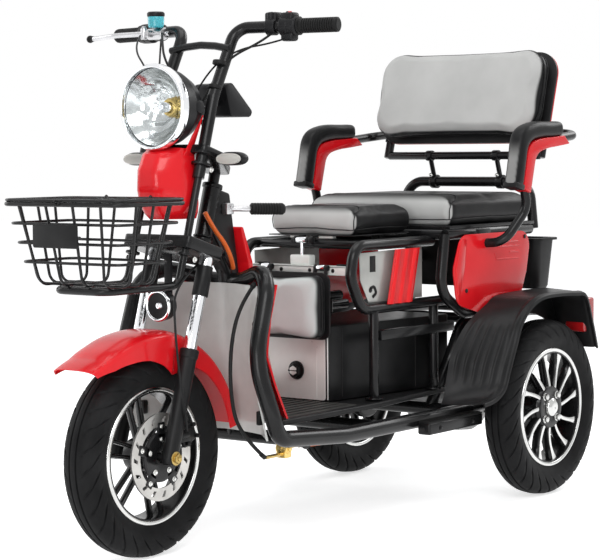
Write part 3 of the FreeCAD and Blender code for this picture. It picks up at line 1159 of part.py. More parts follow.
def fender(side):
    wall = FENDER_WALL
    y0 = FENDER_INNER_Y
    y1 = FENDER_OUTER_Y - FENDER_BEAD
    ramp = faceted([skin_row(i, True) for i in range(FENDER_RAMP_END + 1)])
    top = faceted([skin_row(i, False) for i in range(FENDER_RAMP_END, len(FENDER_ROWS))])
    outer_line = [(row[0], row[1]) for row in FENDER_ROWS[1:]]
    inner_line = [(row[2], row[3]) for row in FENDER_ROWS[1:]]
    bead_line = [set_in(x, z, -1.5) for x, z in outer_line] + [set_in(x, z, FENDER_BEAD_DEPTH) for x, z in outer_line[::-1]]
    bead_corners = [V(x, y1 - wall + 1, z) for x, z in bead_line]
    bead = Part.Face(Part.makePolygon(bead_corners + [bead_corners[0]])).extrude(V(0, FENDER_BEAD + wall - 1, 0))
    spacers = [block(x - 14, x + 14, SIDE_PANEL_Y + SIDE_PANEL_WALL / 2 + REST_GAP, y0 + wall / 2, 456, 476) for x in (-470, -560)]
    walls = [fender_wall(outer_line, y1 - wall, y1), fender_wall(inner_line, y0, y0 + wall)]
    solid = joined([ramp, top, bead] + walls + spacers)
    return solid if side > 0 else solid.mirror(V(0, 0, 0), V(0, 1, 0))


fenders = [fender(side).cut([frame, rear_bin] + panels) for side in (1, -1)]
save("rear_mudguards", fenders)
lamp_y = (FENDER_INNER_Y + FENDER_OUTER_Y) / 2
lamps = []
for side in (1, -1):
    lamp = block(-768, -712, side * lamp_y - TAIL_LAMP_WIDTH / 2, side * lamp_y + TAIL_LAMP_WIDTH / 2, 374, 374 + TAIL_LAMP_HEIGHT, 6)
    lamps.append(max(lamp.cut(fenders).Solids, key=lambda piece: piece.Volume))
save("tail_lamps", lamps)

# Rear axle: tube and brake drums, carried by two arms and two springs
axle_y = TRACK_HALF + 4 - REST_GAP
axle = rod(V(REAR_AXLE_X, -axle_y, WHEEL_RADIUS), V(REAR_AXLE_X, axle_y, WHEEL_RADIUS), AXLE_TUBE_D)
drum_y = TRACK_HALF - RIM_WIDTH / 2 - 6
drums = [rod(V(REAR_AXLE_X, side * (drum_y - BRAKE_DRUM_WIDTH), WHEEL_RADIUS), V(REAR_AXLE_X, side * drum_y, WHEEL_RADIUS), BRAKE_DRUM_D)
         for side in (1, -1)]
arms = [tube([V(REAR_AXLE_X, side * SPRING_Y, WHEEL_RADIUS), V(-420, side * SPRING_Y, 205), V(FRAME_REAR_X + 150, side * 110, FLOOR_TUBE_Z)], 26, 60)
        for side in (1, -1)]
rear_axle = joined([axle] + drums + arms).cut(frame)
save("rear_axle", [rear_axle])
motor = rod(V(REAR_AXLE_X, -MOTOR_LENGTH / 2 + 20, WHEEL_RADIUS), V(REAR_AXLE_X, MOTOR_LENGTH / 2 + 20, WHEEL_RADIUS), MOTOR_D)
save("drive_motor", [motor.cut(rear_axle)])
springs = []
for side in (1, -1):
    foot = V(REAR_AXLE_X, side * SPRING_Y, WHEEL_RADIUS + 13)
    top = V(REAR_AXLE_X - 30, side * SPRING_Y, SUB_RAIL_Z - SUB_RAIL_D / 2)
    run = top - foot
    springs.append(joined([rod(foot, top, 14), rod(foot + run * 0.16, foot + run * 0.9, SPRING_D)]).cut([rear_axle, frame]))
save("rear_springs", springs)

# Parking lever on the head tube, and the foot brake under the floor's front edge
lever_x = steer_point(706).x - 40
lever_root = V(lever_x, GUSSET_HALF_WIDTH + 8, 706)
lever_way = V(-math.cos(math.radians(35)), math.sin(math.radians(35)), -0.02).normalize()
lever_solid = joined([rod(lever_root, lever_root + lever_way * 60, 12), rod(lever_root + lever_way * 50, lever_root + lever_way * 126, 26),
                      block(lever_x - 12, lever_x + 12, GUSSET_HALF_WIDTH, GUSSET_HALF_WIDTH + 16, 694, 718, 3)])
save("parking_lever", [lever_solid.cut(frame)])
pedal = joined([block(236, 262, 120, 150, 176, FLOOR_TUBE_Z - 2, 2), rod(V(240, 135, 186), V(330, 150, 190), 8),
                rod(V(180, 135, 200), V(262, 135, 200), 10)])
save("pedal_linkage", [pedal.cut(frame)])
conduit_front = tube([V(368, 25, 700), V(346, 30, 664), V(316, 33, 636), V(288, 30, 600), V(270, 19, 578)], 10, 40)
conduit_low = tube([V(240, 96, 208), V(160, 100, 190), V(60, 106, 185), V(-40, 120, 189), V(-120, 150, 200), V(-200, 176, 206)], 11, 60)
save("conduit", [conduit_front.cut(frame), conduit_low.cut(frame)])
hose = tube([V(346, 138, 553), V(404, 146, 516), V(444, 152, 436), V(446, 152, 330), V(416, 150, 250), V(332.7, 150, 190)], 8, 60)
save("hoses", [hose])
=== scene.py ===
import math

import bmesh
import bpy
from mathutils import Matrix, Vector, kdtree


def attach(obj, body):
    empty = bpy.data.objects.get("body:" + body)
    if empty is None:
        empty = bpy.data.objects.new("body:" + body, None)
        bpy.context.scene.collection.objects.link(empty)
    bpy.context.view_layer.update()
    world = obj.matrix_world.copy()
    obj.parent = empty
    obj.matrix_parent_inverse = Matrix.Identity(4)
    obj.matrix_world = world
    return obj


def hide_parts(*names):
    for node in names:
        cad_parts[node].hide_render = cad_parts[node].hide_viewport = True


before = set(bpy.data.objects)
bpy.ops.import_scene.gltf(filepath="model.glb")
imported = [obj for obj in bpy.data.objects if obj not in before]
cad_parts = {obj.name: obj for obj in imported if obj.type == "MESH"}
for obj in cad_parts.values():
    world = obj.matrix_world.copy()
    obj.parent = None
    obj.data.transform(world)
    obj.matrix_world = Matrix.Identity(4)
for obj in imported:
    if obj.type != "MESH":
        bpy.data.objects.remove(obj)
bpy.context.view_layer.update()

# Camera: a long lens in front of the moped and to its left, a little over
# lamp height, turned by about half a degree as the photograph is.
look_yaw = 3.79418747
look_down = 0.0669300
look_roll = -0.00820454
camera_spot = Vector((3.56768, 2.71867, 0.83745))
ahead = Vector((math.cos(look_yaw) * math.cos(look_down), math.sin(look_yaw) * math.cos(look_down),
                -math.sin(look_down)))
level_right = ahead.cross(Vector((0, 0, 1))).normalized()
level_up = level_right.cross(ahead)
lens_right = level_right * math.cos(look_roll) + level_up * math.sin(look_roll)
lens_up = level_up * math.cos(look_roll) - level_right * math.sin(look_roll)
camera_data = bpy.data.cameras.new("camera")
camera_data.sensor_width = 36
camera_data.lens = 119.861
camera_data.clip_end = 60
camera = bpy.data.objects.new("camera", camera_data)
bpy.context.scene.collection.objects.link(camera)
place = Matrix((lens_right, lens_up, -ahead)).transposed().to_4x4()
place.translation = camera_spot
camera.matrix_world = place
bpy.context.scene.camera = camera

# Studio: a plain white floor and world. A large soft lamp and a low one stand
# at the left front, weaker ones at the right, behind and overhead.
bpy.context.scene.view_settings.view_transform = "Standard"


def area_lamp(name, spot, target, width, height, power):
    data = bpy.data.lights.new(name, "AREA")
    data.shape = "RECTANGLE"
    data.size = width
    data.size_y = height
    data.energy = power
    lamp = bpy.data.objects.new(name, data)
    bpy.context.scene.collection.objects.link(lamp)
    lamp.location = spot
    lamp.rotation_euler = (Vector(target) - Vector(spot)).to_track_quat("-Z", "Y").to_euler()


area_lamp("key_lamp", (3.0, 2.6, 3.2), (0, 0, 0.5), 2.4, 2.0, 86)
area_lamp("low_lamp", (4.2, 1.4, 0.9), (0, 0, 0.4), 1.6, 1.2, 34)
area_lamp("side_lamp", (1.2, -4.2, 2.2), (0, 0, 0.5), 2.2, 2.6, 45)
area_lamp("back_lamp", (-3.6, 1.2, 2.8), (0, 0, 0.6), 2.6, 1.4, 50)
area_lamp("top_lamp", (0.2, 0.2, 3.8), (0, 0, 0.4), 2.6, 2.2, 45)


def seen_plainly(tree):
    """1 for the camera's, mirrored and transmitted rays, which see plain white"""
    rays = tree.nodes.new("ShaderNodeLightPath")
    amount = rays.outputs["Is Camera Ray"]
    for name in ("Is Transmission Ray", "Is Glossy Ray"):
        either = tree.nodes.new("ShaderNodeMath")
        either.operation = "MAXIMUM"
        tree.links.new(amount, either.inputs[0])
        tree.links.new(rays.outputs[name], either.inputs[1])
        amount = either.outputs[0]
    return amount


def glow(tree, kind, colour, strength):
    """A shader that gives off plain light"""
    node = tree.nodes.new(kind)
    node.inputs["Color"].default_value = (*colour, 1)
    node.inputs["Strength"].default_value = strength
    return node.outputs[0]


world = bpy.data.worlds.new("studio")
bpy.context.scene.world = world
world.use_nodes = True
tree = world.node_tree
tree.nodes.clear()
pick = tree.nodes.new("ShaderNodeMixShader")
out = tree.nodes.new("ShaderNodeOutputWorld")
tree.links.new(seen_plainly(tree), pick.inputs[0])
tree.links.new(glow(tree, "ShaderNodeBackground", (0.86, 0.88, 0.9), 0.42), pick.inputs[1])
tree.links.new(glow(tree, "ShaderNodeBackground", (1, 1, 1), 1), pick.inputs[2])
tree.links.new(pick.outputs[0], out.inputs[0])

floor_form = bmesh.new()
bmesh.ops.create_grid(floor_form, x_segments=1, y_segments=1, size=14)
floor_data = bpy.data.meshes.new("studio_floor")
floor_form.to_mesh(floor_data)
floor_form.free()
floor = bpy.data.objects.new("studio_floor", floor_data)
bpy.context.scene.collection.objects.link(floor)
floor_paint = bpy.data.materials.new("studio_floor")
floor_paint.use_nodes = True
tree = floor_paint.node_tree
shader = tree.nodes["Principled BSDF"]
shader.inputs["Base Color"].default_value = (0.96, 0.96, 0.96, 1)
shader.inputs["Roughness"].default_value = 0.85
brighter = tree.nodes.new("ShaderNodeAddShader")
switch = tree.nodes.new("ShaderNodeMixShader")
tree.links.new(shader.outputs[0], brighter.inputs[0])
tree.links.new(glow(tree, "ShaderNodeEmission", (1, 1, 1), 0.64), brighter.inputs[1])
tree.links.new(seen_plainly(tree), switch.inputs[0])
tree.links.new(shader.outputs[0], switch.inputs[1])
tree.links.new(brighter.outputs[0], switch.inputs[2])
tree.links.new(switch.outputs[0], tree.nodes["Material Output"].inputs["Surface"])
floor_data.materials.append(floor_paint)


# Front wheel: a rubber tyre with curved shoulder grooves and two centre
# lines, on a black cast rim with twin spokes and polished lips.
MM = 0.001
axle_height = 210
front_axle_x = 543
tyre_half_width = 41.5
tyre_radius = 210


def noise(tree, scale, detail):
    """Even noise that stays with the piece"""
    spot = tree.nodes.new("ShaderNodeTexCoord")
    node = tree.nodes.new("ShaderNodeTexNoise")
    node.inputs["Scale"].default_value = scale
    node.inputs["Detail"].default_value = detail
    tree.links.new(spot.outputs["Object"], node.inputs["Vector"])
    return node.outputs["Fac"]


def two_tone(tree, amount, tones, places):
    """A ramp from one colour to another"""
    ramp = tree.nodes.new("ShaderNodeValToRGB")
    for stop, tone, place in zip(ramp.color_ramp.elements, tones, places):
        stop.position = place
        stop.color = (*tone, 1)
    tree.links.new(amount, ramp.inputs["Fac"])
    return ramp.outputs["Color"]


def finish(name, colour, rough, metal=0.0, mottle=0.12, grain=900, depth=0.00006, pattern="noise", coat=0.0,
           stretch=(1, 1, 1), shine=0.5):
    """A procedural finish: clouded colour, uneven roughness and a fine relief"""
    paint = bpy.data.materials.new(name)
    paint.use_nodes = True
    tree = paint.node_tree
    shader = tree.nodes["Principled BSDF"]
    shader.inputs["Metallic"].default_value = metal
    shader.inputs["Coat Weight"].default_value = coat
    shader.inputs["Coat Roughness"].default_value = 0.08
    shader.inputs["Specular IOR Level"].default_value = shine
    dark = [c * (1 - mottle) for c in colour]
    pale = [min(1, c * (1 + mottle) + 0.004) for c in colour]
    shade = two_tone(tree, noise(tree, 14, 6), (dark, pale), (0.32, 0.7))
    tree.links.new(shade, shader.inputs["Base Color"])
    uneven = tree.nodes.new("ShaderNodeMapRange")
    uneven.inputs["To Min"].default_value = max(0.02, rough * 0.8)
    uneven.inputs["To Max"].default_value = min(1, rough * 1.2)
    tree.links.new(noise(tree, 55, 8), uneven.inputs["Value"])
    tree.links.new(uneven.outputs["Result"], shader.inputs["Roughness"])
    if depth > 0:
        spot = tree.nodes.new("ShaderNodeTexCoord")
        turn = tree.nodes.new("ShaderNodeMapping")
        turn.inputs["Scale"].default_value = stretch
        tree.links.new(spot.outputs["Object"], turn.inputs["Vector"])
        if pattern == "leather":
            fine = tree.nodes.new("ShaderNodeTexVoronoi")
            fine.feature = "DISTANCE_TO_EDGE"
            height = fine.outputs["Distance"]
        else:
            fine = tree.nodes.new("ShaderNodeTexNoise")
            fine.inputs["Detail"].default_value = 4
            height = fine.outputs["Fac"]
        fine.inputs["Scale"].default_value = grain
        tree.links.new(turn.outputs["Vector"], fine.inputs["Vector"])
        relief = tree.nodes.new("ShaderNodeBump")
        relief.inputs["Distance"].default_value = depth
        relief.inputs["Strength"].default_value = 0.8
        tree.links.new(height, relief.inputs["Height"])
        tree.links.new(relief.outputs["Normal"], shader.inputs["Normal"])
    return paint


MERGE = 0.004
SEAM_MERGE = 0.01
POLE = 0.01


def keep(form, name, paint, angle=34):
    """Turns a form drawn in millimetres into a piece of its own"""
    bmesh.ops.remove_doubles(form, verts=form.verts, dist=MERGE)
    bmesh.ops.recalc_face_normals(form, faces=form.faces)
    bmesh.ops.scale(form, vec=(MM, MM, MM), verts=form.verts)
    data = bpy.data.meshes.new(name)
    form.to_mesh(data)
    form.free()
    data.materials.append(paint)
    data.shade_smooth()
    data.set_sharp_from_angle(angle=math.radians(angle))
    piece = bpy.data.objects.new(name, data)
    bpy.context.scene.collection.objects.link(piece)
    return piece


def settle(piece, body, slot, *nodes):
    """Puts a piece on its body, in place of the CAD nodes that are named"""
    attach(piece, body)
    if nodes:
        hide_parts(*nodes)


def fit(form, name, paint, body, slot, *nodes, angle=34):
    """Makes a piece of a form and settles it"""
    settle(keep(form, name, paint, angle), body, slot, *nodes)


def rounded(points, radius, steps=6, closed=False):
    """A line through the points with its corners turned into arcs"""
    line = []
    for i, point in enumerate(points):
        corner = Vector(point)
        if not closed and i in (0, len(points) - 1):
            line.append(corner)
            continue
        back = Vector(points[i - 1]) - corner
        on = Vector(points[(i + 1) % len(points)]) - corner
        half = back.angle(on) / 2
        if half > 1.55:
            line.append(corner)
            continue
        reach = min(radius / math.tan(half), 0.46 * back.length, 0.46 * on.length)
        bend = reach * math.tan(half)
        centre = corner + (back.normalized() + on.normalized()).normalized() * (bend / math.sin(half))
        start = corner + back.normalized() * reach - centre
        end = corner + on.normalized() * reach - centre
        for k in range(steps + 1):
            line.append(centre + start.slerp(end, k / steps) * bend)
    return line


def skin(form, across, along, where):
    """A grid of faces whose points are put in place by where(u, v), each from 0 to 1"""
    made = bmesh.ops.create_grid(form, x_segments=across, y_segments=along, size=0.5)["verts"]
    for vert in made:
        vert.co = where(round((vert.co.x + 0.5) * across), round((vert.co.y + 0.5) * along))
    return made


def spun(form, profile, centre, sides=96, axis=(0, 1, 0)):
    """A closed outline of (along the axis, radius) pairs turned about the axis"""
    axis = Vector(axis)
    out = Vector((0, 0, 1)) if abs(axis.z) < 0.9 else Vector((1, 0, 0))
    out = (out - axis * out.dot(axis)).normalized()
    verts = [form.verts.new(Vector(centre) + axis * a + out * r) for a, r in profile]
    edges = [form.edges.new((verts[i], verts[(i + 1) % len(verts)])) for i in range(len(verts))]
    bmesh.ops.spin(form, geom=verts + edges, cent=centre, axis=axis, angle=2 * math.pi, steps=sides,
                   use_merge=True)


def lathe(form, outline, corner, steps, centre, sides=96, axis=(0, 1, 0), looped=True, side=1):
    """An outline of (along the axis, radius) pairs, its corners rounded, turned about the axis"""
    line = rounded([(a, r, 0) for a, r in outline], corner, steps, looped)
    spun(form, [(side * p.x, p.y) for p in line], centre, sides, axis)


def tyre_section():
    """The tyre's outline from bead to bead, as (across, radius) points, evenly fine"""
    left = [(27, 0, 136), (30, 0, 146), (39.5, 0, 158), (tyre_half_width, 0, 178), (37, 0, 197),
            (22, 0, 207.3), (0, 0, tyre_radius)]
    right = [(-y, 0, r) for y, _, r in left[-2::-1]]
    return rounded(left + right, 26, 8)


def tyre(centre_y, axle_x, name, body, node):
    """A tyre whose grooves run along the slanted columns of a grid"""
    section = tyre_section()
    reach = [0.0]
    for a, b in zip(section, section[1:]):
        reach.append(reach[-1] + (b - a).length)
    length = reach[-1]

    def at(share):
        goal = share * length
        k = max(i for i in range(len(reach)) if reach[i] <= goal + 1e-9)
        k = min(k, len(reach) - 2)
        return section[k].lerp(section[k + 1], (goal - reach[k]) / (reach[k + 1] - reach[k]))

    half_rows = [0.0, 0.02, 0.05, 0.09, 0.12, 0.15, 0.175, 0.2, 0.225, 0.25, 0.275, 0.3, 0.325, 0.35, 0.375,
                 0.4, 0.425, 0.448, 0.452, 0.466, 0.47, 0.485, 0.5]
    rows = half_rows + [1 - share for share in half_rows[-2::-1]]
    pitches = 30
    columns = [0.0, 0.22, 0.4, 0.45, 0.55, 0.6, 0.78]
    count = pitches * len(columns)
    groove_columns = (3, 4)
    groove_low, groove_high, groove_deep = 0.17, 0.43, 3.4

    def where(u, v):
        share = rows[v]
        spot = at(share)
        from_bead = min(share, 1 - share)
        pitch, column = divmod(u, len(columns))
        lean = max(0.0, 0.46 - from_bead) / 0.28
        angle = (pitch + columns[column] + 1.35 * lean ** 1.5) * 2 * math.pi / pitches
        deep = 0.0
        if column in groove_columns and groove_low < from_bead < groove_high:
            deep = groove_deep * min(1, (from_bead - groove_low) / 0.05, (groove_high - from_bead) / 0.05)
        if 0.45 < from_bead < 0.468:
            deep = 3.2
        if from_bead == 0.12:
            deep = -0.7
        r = spot.z - deep * (0.4 + 0.6 * min(1, max(0, (spot.z - 180) / 20)))
        y = spot.x - math.copysign(deep * 0.8 * max(0, (198 - spot.z) / 20), spot.x)
        return Vector((axle_x + r * math.cos(angle), centre_y + y, axle_height + r * math.sin(angle)))

    form = bmesh.new()
    skin(form, count, len(rows) - 1, where)
    bmesh.ops.remove_doubles(form, verts=form.verts, dist=SEAM_MERGE)
    inner = [edge for edge in form.edges if edge.is_boundary]
    bmesh.ops.bridge_loops(form, edges=inner)
    fit(form, name, tyre_rubber, body, "tyre", node, angle=40)


tyre_rubber = finish("tyre_rubber", (0.009, 0.009, 0.0095), 0.6, mottle=0.3, grain=1400, depth=0.00008,
                     shine=0.1)
tyre(0, front_axle_x, "front_tyre_tread", "front_wheel", "front_tyre")

black_cast = finish("black_cast", (0.006, 0.006, 0.0065), 0.22, mottle=0.3, grain=500, depth=0.00004,
                    coat=0.08, shine=0.25)
polished_metal = finish("polished_metal", (0.6, 0.6, 0.59), 0.15, metal=1.0, mottle=0.12, grain=60,
                        depth=0.00002, stretch=(1, 30, 1))


def barrel(form, centre_y, axle_x):
    """The rim's well between its two lips"""
    well = [(-30.5, 129), (30.5, 129), (30.5, 137), (24, 134), (12, 131), (-12, 131), (-24, 134),
            (-30.5, 137)]
    lathe(form, well, 2, 2, (axle_x, centre_y, axle_height))


def lip_rings(name, centre_y, axle_x, body, slot):
    """Polished rings at the rim's edges, rolled over the bead"""
    form = bmesh.new()
    for side in (1, -1):
        ring = [(side * 22, 136.5), (side * 26, 132.6), (side * 31.5, 132.6), (side * 32.5, 140),
                (side * 29, 143.5), (side * 27.2, 140)]
        lathe(form, ring, 2.2, 3, (axle_x, centre_y, axle_height))
    fit(form, name, polished_metal, body, slot)


def soften(form, edges, radius, steps=2):
    """Rounds some edges, and gives the points this makes"""
    return bmesh.ops.bevel(form, geom=edges, offset=radius, offset_type="OFFSET", segments=steps, profile=0.5,
                           affect="EDGES", material=-1, clamp_overlap=True)["verts"]


def block(form, x0, x1, y0, y1, z0, z1, edge=0.0, steps=2):
    """A box between six planes, its edges rounded"""
    middle = Matrix.Translation(((x0 + x1) / 2, (y0 + y1) / 2, (z0 + z1) / 2))
    size = Matrix.Diagonal((x1 - x0, y1 - y0, z1 - z0, 1))
    made = bmesh.ops.create_cube(form, size=1, matrix=middle @ size)["verts"]
    if edge > 0:
        made = soften(form, list({e for v in made for e in v.link_edges}), edge, steps)
    return made


def rod(form, a, b, diameter, edge=1.0, sides=24, tip=None):
    """A round bar from a to b with its end edges rounded"""
    a, b = Vector(a), Vector(b)
    run = b - a
    where = Matrix.Translation((a + b) / 2) @ run.to_track_quat("Z", "Y").to_matrix().to_4x4()
    made = bmesh.ops.create_cone(form, segments=sides, radius1=diameter / 2, radius2=(tip or diameter) / 2,
                                 depth=run.length, cap_ends=True, cap_tris=False, matrix=where)["verts"]
    if edge > 0:
        flat = 1e-3 * run.length
        edges = {e for v in made for e in v.link_edges}
        soften(form, [e for e in edges if abs((e.verts[0].co - e.verts[1].co).dot(run)) < flat], edge)


def turned_copies(form, verts, centre, count, start=0.0):
    """Copies of the faces of some points, at even angles about the wheel's axle"""
    faces = list({f for v in verts if v.is_valid for f in v.link_faces})
    first = list({v for f in faces for v in f.verts})
    bmesh.ops.rotate(form, cent=centre, matrix=Matrix.Rotation(start, 3, "Y"), verts=first)
    for i in range(1, count):
        copy = bmesh.ops.duplicate(form, geom=faces)["geom"]
        bmesh.ops.rotate(form, cent=centre, matrix=Matrix.Rotation(2 * math.pi * i / count, 3, "Y"),
                         verts=[g for g in copy if isinstance(g, bmesh.types.BMVert)])


def part_of(form, before):
    """The points that a form has gained since it had so many"""
    form.verts.ensure_lookup_table()
    return [form.verts[i] for i in range(before, len(form.verts))]


centre = Vector((front_axle_x, 0, axle_height))
form = bmesh.new()
barrel(form, 0, front_axle_x)
hub = [(-30, 8.5), (30, 8.5), (44, 8.5), (44, 26), (30, 27), (28, 33), (14, 34), (-14, 34), (-28, 33),
       (-30, 28)]
lathe(form, hub, 1.5, 2, centre, 64)
for side in (1, -1):
    arm = bmesh.new()

    def arm_spot(u, v):
        along, up = math.cos(2 * math.pi * u / 12), math.sin(2 * math.pi * u / 12)
        return Vector((side * (10.5 + 6 * v / 8) + (4.6 + 0.8 * v / 8) * along,
                       (8.5 - 1.2 * v / 8) * up * (1.15 - 0.15 * abs(along)), 25 + 105 * v / 8))

    skin(arm, 12, 8, arm_spot)
    bmesh.ops.remove_doubles(arm, verts=arm.verts, dist=SEAM_MERGE)
    bmesh.ops.translate(arm, vec=centre, verts=arm.verts)
    turned_copies(arm, arm.verts[:], centre, 6, math.radians(15))
    mould = bpy.data.meshes.new("twin_spoke")
    arm.to_mesh(mould)
    form.from_mesh(mould)
    bpy.data.meshes.remove(mould)
    arm.free()
fit(form, "front_rim_casting", black_cast, "front_wheel", "rim_black", "front_rim")
lip_rings("front_rim_lips", 0, front_axle_x, "front_wheel", "rim_black")

# Brake disc: a ground steel ring with slanted slots, on a black carrier held
# to the hub by five bolts.
ground_steel = finish("ground_steel", (0.5, 0.49, 0.47), 0.34, metal=0.9, mottle=0.18, grain=220,
                      depth=0.00004)
disc_y = 45
disc_middle = 77
slots = 15
radii = [64, 68.5, 71, disc_middle, 83, 85.5, 90]
slant = 0.1


def ring_spot(u, v):
    angle = (u / 8 + slant * (radii[v] - disc_middle) / 6) * 2 * math.pi / slots
    return centre + Vector((radii[v] * math.cos(angle), disc_y, radii[v] * math.sin(angle)))


def walled(form, thickness):
    """Gives an open sheet its thickness"""
    bmesh.ops.recalc_face_normals(form, faces=form.faces)
    bmesh.ops.solidify(form, geom=form.faces, thickness=thickness)


form = bmesh.new()
skin(form, slots * 8, len(radii) - 1, ring_spot)
bmesh.ops.remove_doubles(form, verts=form.verts, dist=SEAM_MERGE)
gone = []
for face in form.faces:
    middle = face.calc_center_median() - centre
    r = math.hypot(middle.x, middle.z)
    step = (math.atan2(middle.z, middle.x) * slots / (2 * math.pi) - slant * (r - disc_middle) / 6) % 1
    if 70 < r < 84 and (step < 0.125 or step > 0.875):
        gone.append(face)
bmesh.ops.delete(form, geom=gone, context="FACES")
walled(form, 4)
shift = disc_y - min(v.co.y for v in form.verts)
bmesh.ops.translate(form, vec=(0, shift, 0), verts=form.verts)
fit(form, "disc_ring", ground_steel, "front_wheel", "disc_steel", "brake_disc", angle=30)
form = bmesh.new()
lobe = [(disc_y - 0.6, 12), (disc_y + 5, 12), (disc_y + 5, 47), (disc_y + 3.6, 52), (disc_y - 0.6, 52)]
lathe(form, lobe, 1, 2, centre, 64)
arm = block(form, front_axle_x - 11, front_axle_x + 11, disc_y + 0.4, disc_y + 5, axle_height + 40,
            axle_height + 71, 2)
turned_copies(form, arm, centre, 5)
fit(form, "disc_carrier", black_cast, "front_wheel", "rim_black")


def bolt(form, spot, axis, across, height=4.0, washer=True):
    """A hexagon bolt's head on a washer"""
    spot, axis = Vector(spot), Vector(axis).normalized()
    if washer:
        rod(form, spot, spot + axis * 1.2, across * 1.5, 0.3)
    rod(form, spot, spot + axis * (height + 1.2), across * 1.12, 0.5, 6)
    rod(form, spot + axis * height, spot + axis * (height + 1.8), across * 0.86, 0.4)


bright_bolt = finish("bright_bolt", (0.72, 0.72, 0.7), 0.25, metal=1.0, mottle=0.12, grain=400, depth=0.00003)
form = bmesh.new()
for i in range(5):
    angle = 2 * math.pi * i / 5 + math.pi / 2
    for radius, across in ((36, 8), (62, 7)):
        spot = centre + Vector((radius * math.cos(angle), disc_y + 5, radius * math.sin(angle)))
        bolt(form, spot, (0, 1, 0), across, 2.6)
fit(form, "disc_bolts", bright_bolt, "front_wheel", "disc_steel")

# Rear wheels: the same tyres on black cast rims whose twelve curved spokes
# are machined bright on the outside, with a chromed cap and four lug nuts.
rear_axle_x = -567
track_half = 283
for side, word in ((1, "left"), (-1, "right")):
    centre = Vector((rear_axle_x, side * track_half, axle_height))
    body = "rear_wheel_" + word
    tyre(side * track_half, rear_axle_x, "rear_tyre_tread_" + word, body, "rear_tyre_" + word)
    black = bmesh.new()
    bright = bmesh.new()
    barrel(black, side * track_half, rear_axle_x)
    hub = [(4, POLE), (24, POLE), (27, 30), (26, 50), (18, 54), (4, 54)]
    lathe(black, hub, 2, 2, centre, 64, side=side)
    for form, wide, low, high in ((black, 7.5, 3, 24.5), (bright, 5.4, 24.2, 26.2)):
        before = len(form.verts)

        def spoke_spot(u, v):
            r = 46 + 84.5 * v / 10
            sweep = 24 * (v / 10) ** 1.7
            turn = 2 * math.pi * (u + 0.5) / 8
            half = wide * (0.8 + 1.2 * max(0, (v - 6.5) / 3.5) ** 1.4)
            box = max(abs(math.cos(turn)), abs(math.sin(turn)))
            x = sweep + half * max(-1, min(1, math.cos(turn) / box * 0.98))
            y = (low + high) / 2 + (high - low) / 2 * max(-1, min(1, math.sin(turn) / box))
            return centre + Vector((side * x, side * (y - 3.5 * math.sin(math.pi * v / 10)), r))

        skin(form, 8, 10, spoke_spot)
        turned_copies(form, part_of(form, before), centre, 12)
    bmesh.ops.remove_doubles(black, verts=black.verts, dist=MERGE)
    bmesh.ops.remove_doubles(bright, verts=bright.verts, dist=MERGE)
    bmesh.ops.holes_fill(bright, edges=bright.edges, sides=10)
    bmesh.ops.holes_fill(black, edges=black.edges, sides=10)
    face_ring = [(25.6, 30), (28, 30), (28.4, 49), (26, 50.5)]
    lathe(black, face_ring, 1, 2, centre, 64, side=side)
    cap = [(26, POLE), (40.5, POLE), (39, 14), (34, 22), (27, 23.5)]
    lathe(bright, cap, 5, 4, centre, 48, looped=False, side=side)
    for i in range(4):
        angle = math.radians(45 + 90 * i)
        spot = centre + Vector((38 * math.cos(angle), side * 26, 38 * math.sin(angle)))
        rod(bright, spot, spot + Vector((0, side * 10, 0)), 15.5, 2, 6)
        rod(bright, spot, spot + Vector((0, side * 3, 0)), 19, 1)
    fit(black, "rear_rim_casting_" + word, black_cast, body, "rim_chrome", "rear_rim_" + word)
    fit(bright, "rear_rim_face_" + word, polished_metal, body, "rim_chrome")
    lip_rings("rear_rim_lips_" + word, side * track_half, rear_axle_x, body, "rim_chrome")

# Fork: chromed stanchions in black lower legs, joined by a pressed crown
# below and a plate above; the steerer runs through the head tube.
rake = math.radians(17)
leg_y = 72
riser_y = 70
riser_ahead = 129
crown_top = 618
plate_top = 800
steer_up = Vector((-math.sin(rake), 0, math.cos(rake)))
steer_ahead = Vector((math.cos(rake), 0, math.sin(rake)))
frame_black = finish("frame_black", (0.006, 0.006, 0.0065), 0.24, mottle=0.3, grain=700, depth=0.00003,
                     coat=0.06, shine=0.2)
chrome = finish("chrome_plate", (0.86, 0.87, 0.89), 0.07, metal=1.0, mottle=0.04, grain=300, depth=0.00001)
satin_black = finish("satin_black", (0.008, 0.008, 0.0085), 0.38, mottle=0.25, grain=1200, depth=0.00004,
                     shine=0.17)
gold_zinc = finish("gold_zinc", (0.62, 0.45, 0.16), 0.28, metal=1.0, mottle=0.35, grain=300, depth=0.00003)


def steer_point(z, ahead=0.0, y=0.0):
    """The point at a height on a line ahead of the steering axis"""
    rise = (z - axle_height - steer_ahead.z * ahead) / steer_up.z
    return Vector((480, 0, axle_height)) + steer_up * rise + steer_ahead * ahead + Vector((0, y, 0))


def fork_line(rise, y=0.0):
    """A point up the fork's legs from the front axle"""
    return Vector((front_axle_x, y, axle_height)) + steer_up * rise


def new_curve(kind, points):
    """A curve of one spline through, or drawn by, some points"""
    curve = bpy.data.curves.new("run", "CURVE")
    curve.dimensions = "3D"
    run = curve.splines.new(kind)
    run.points.add(len(points) - 1)
    for point, spot in zip(run.points, points):
        point.co = (*spot, 1)
    return curve, run


def as_mesh(curve):
    """The curve's mesh, in place of the curve"""
    holder = bpy.data.objects.new("run", curve)
    mesh = bpy.data.meshes.new_from_object(holder)
    bpy.data.objects.remove(holder)
    bpy.data.curves.remove(curve)
    return mesh


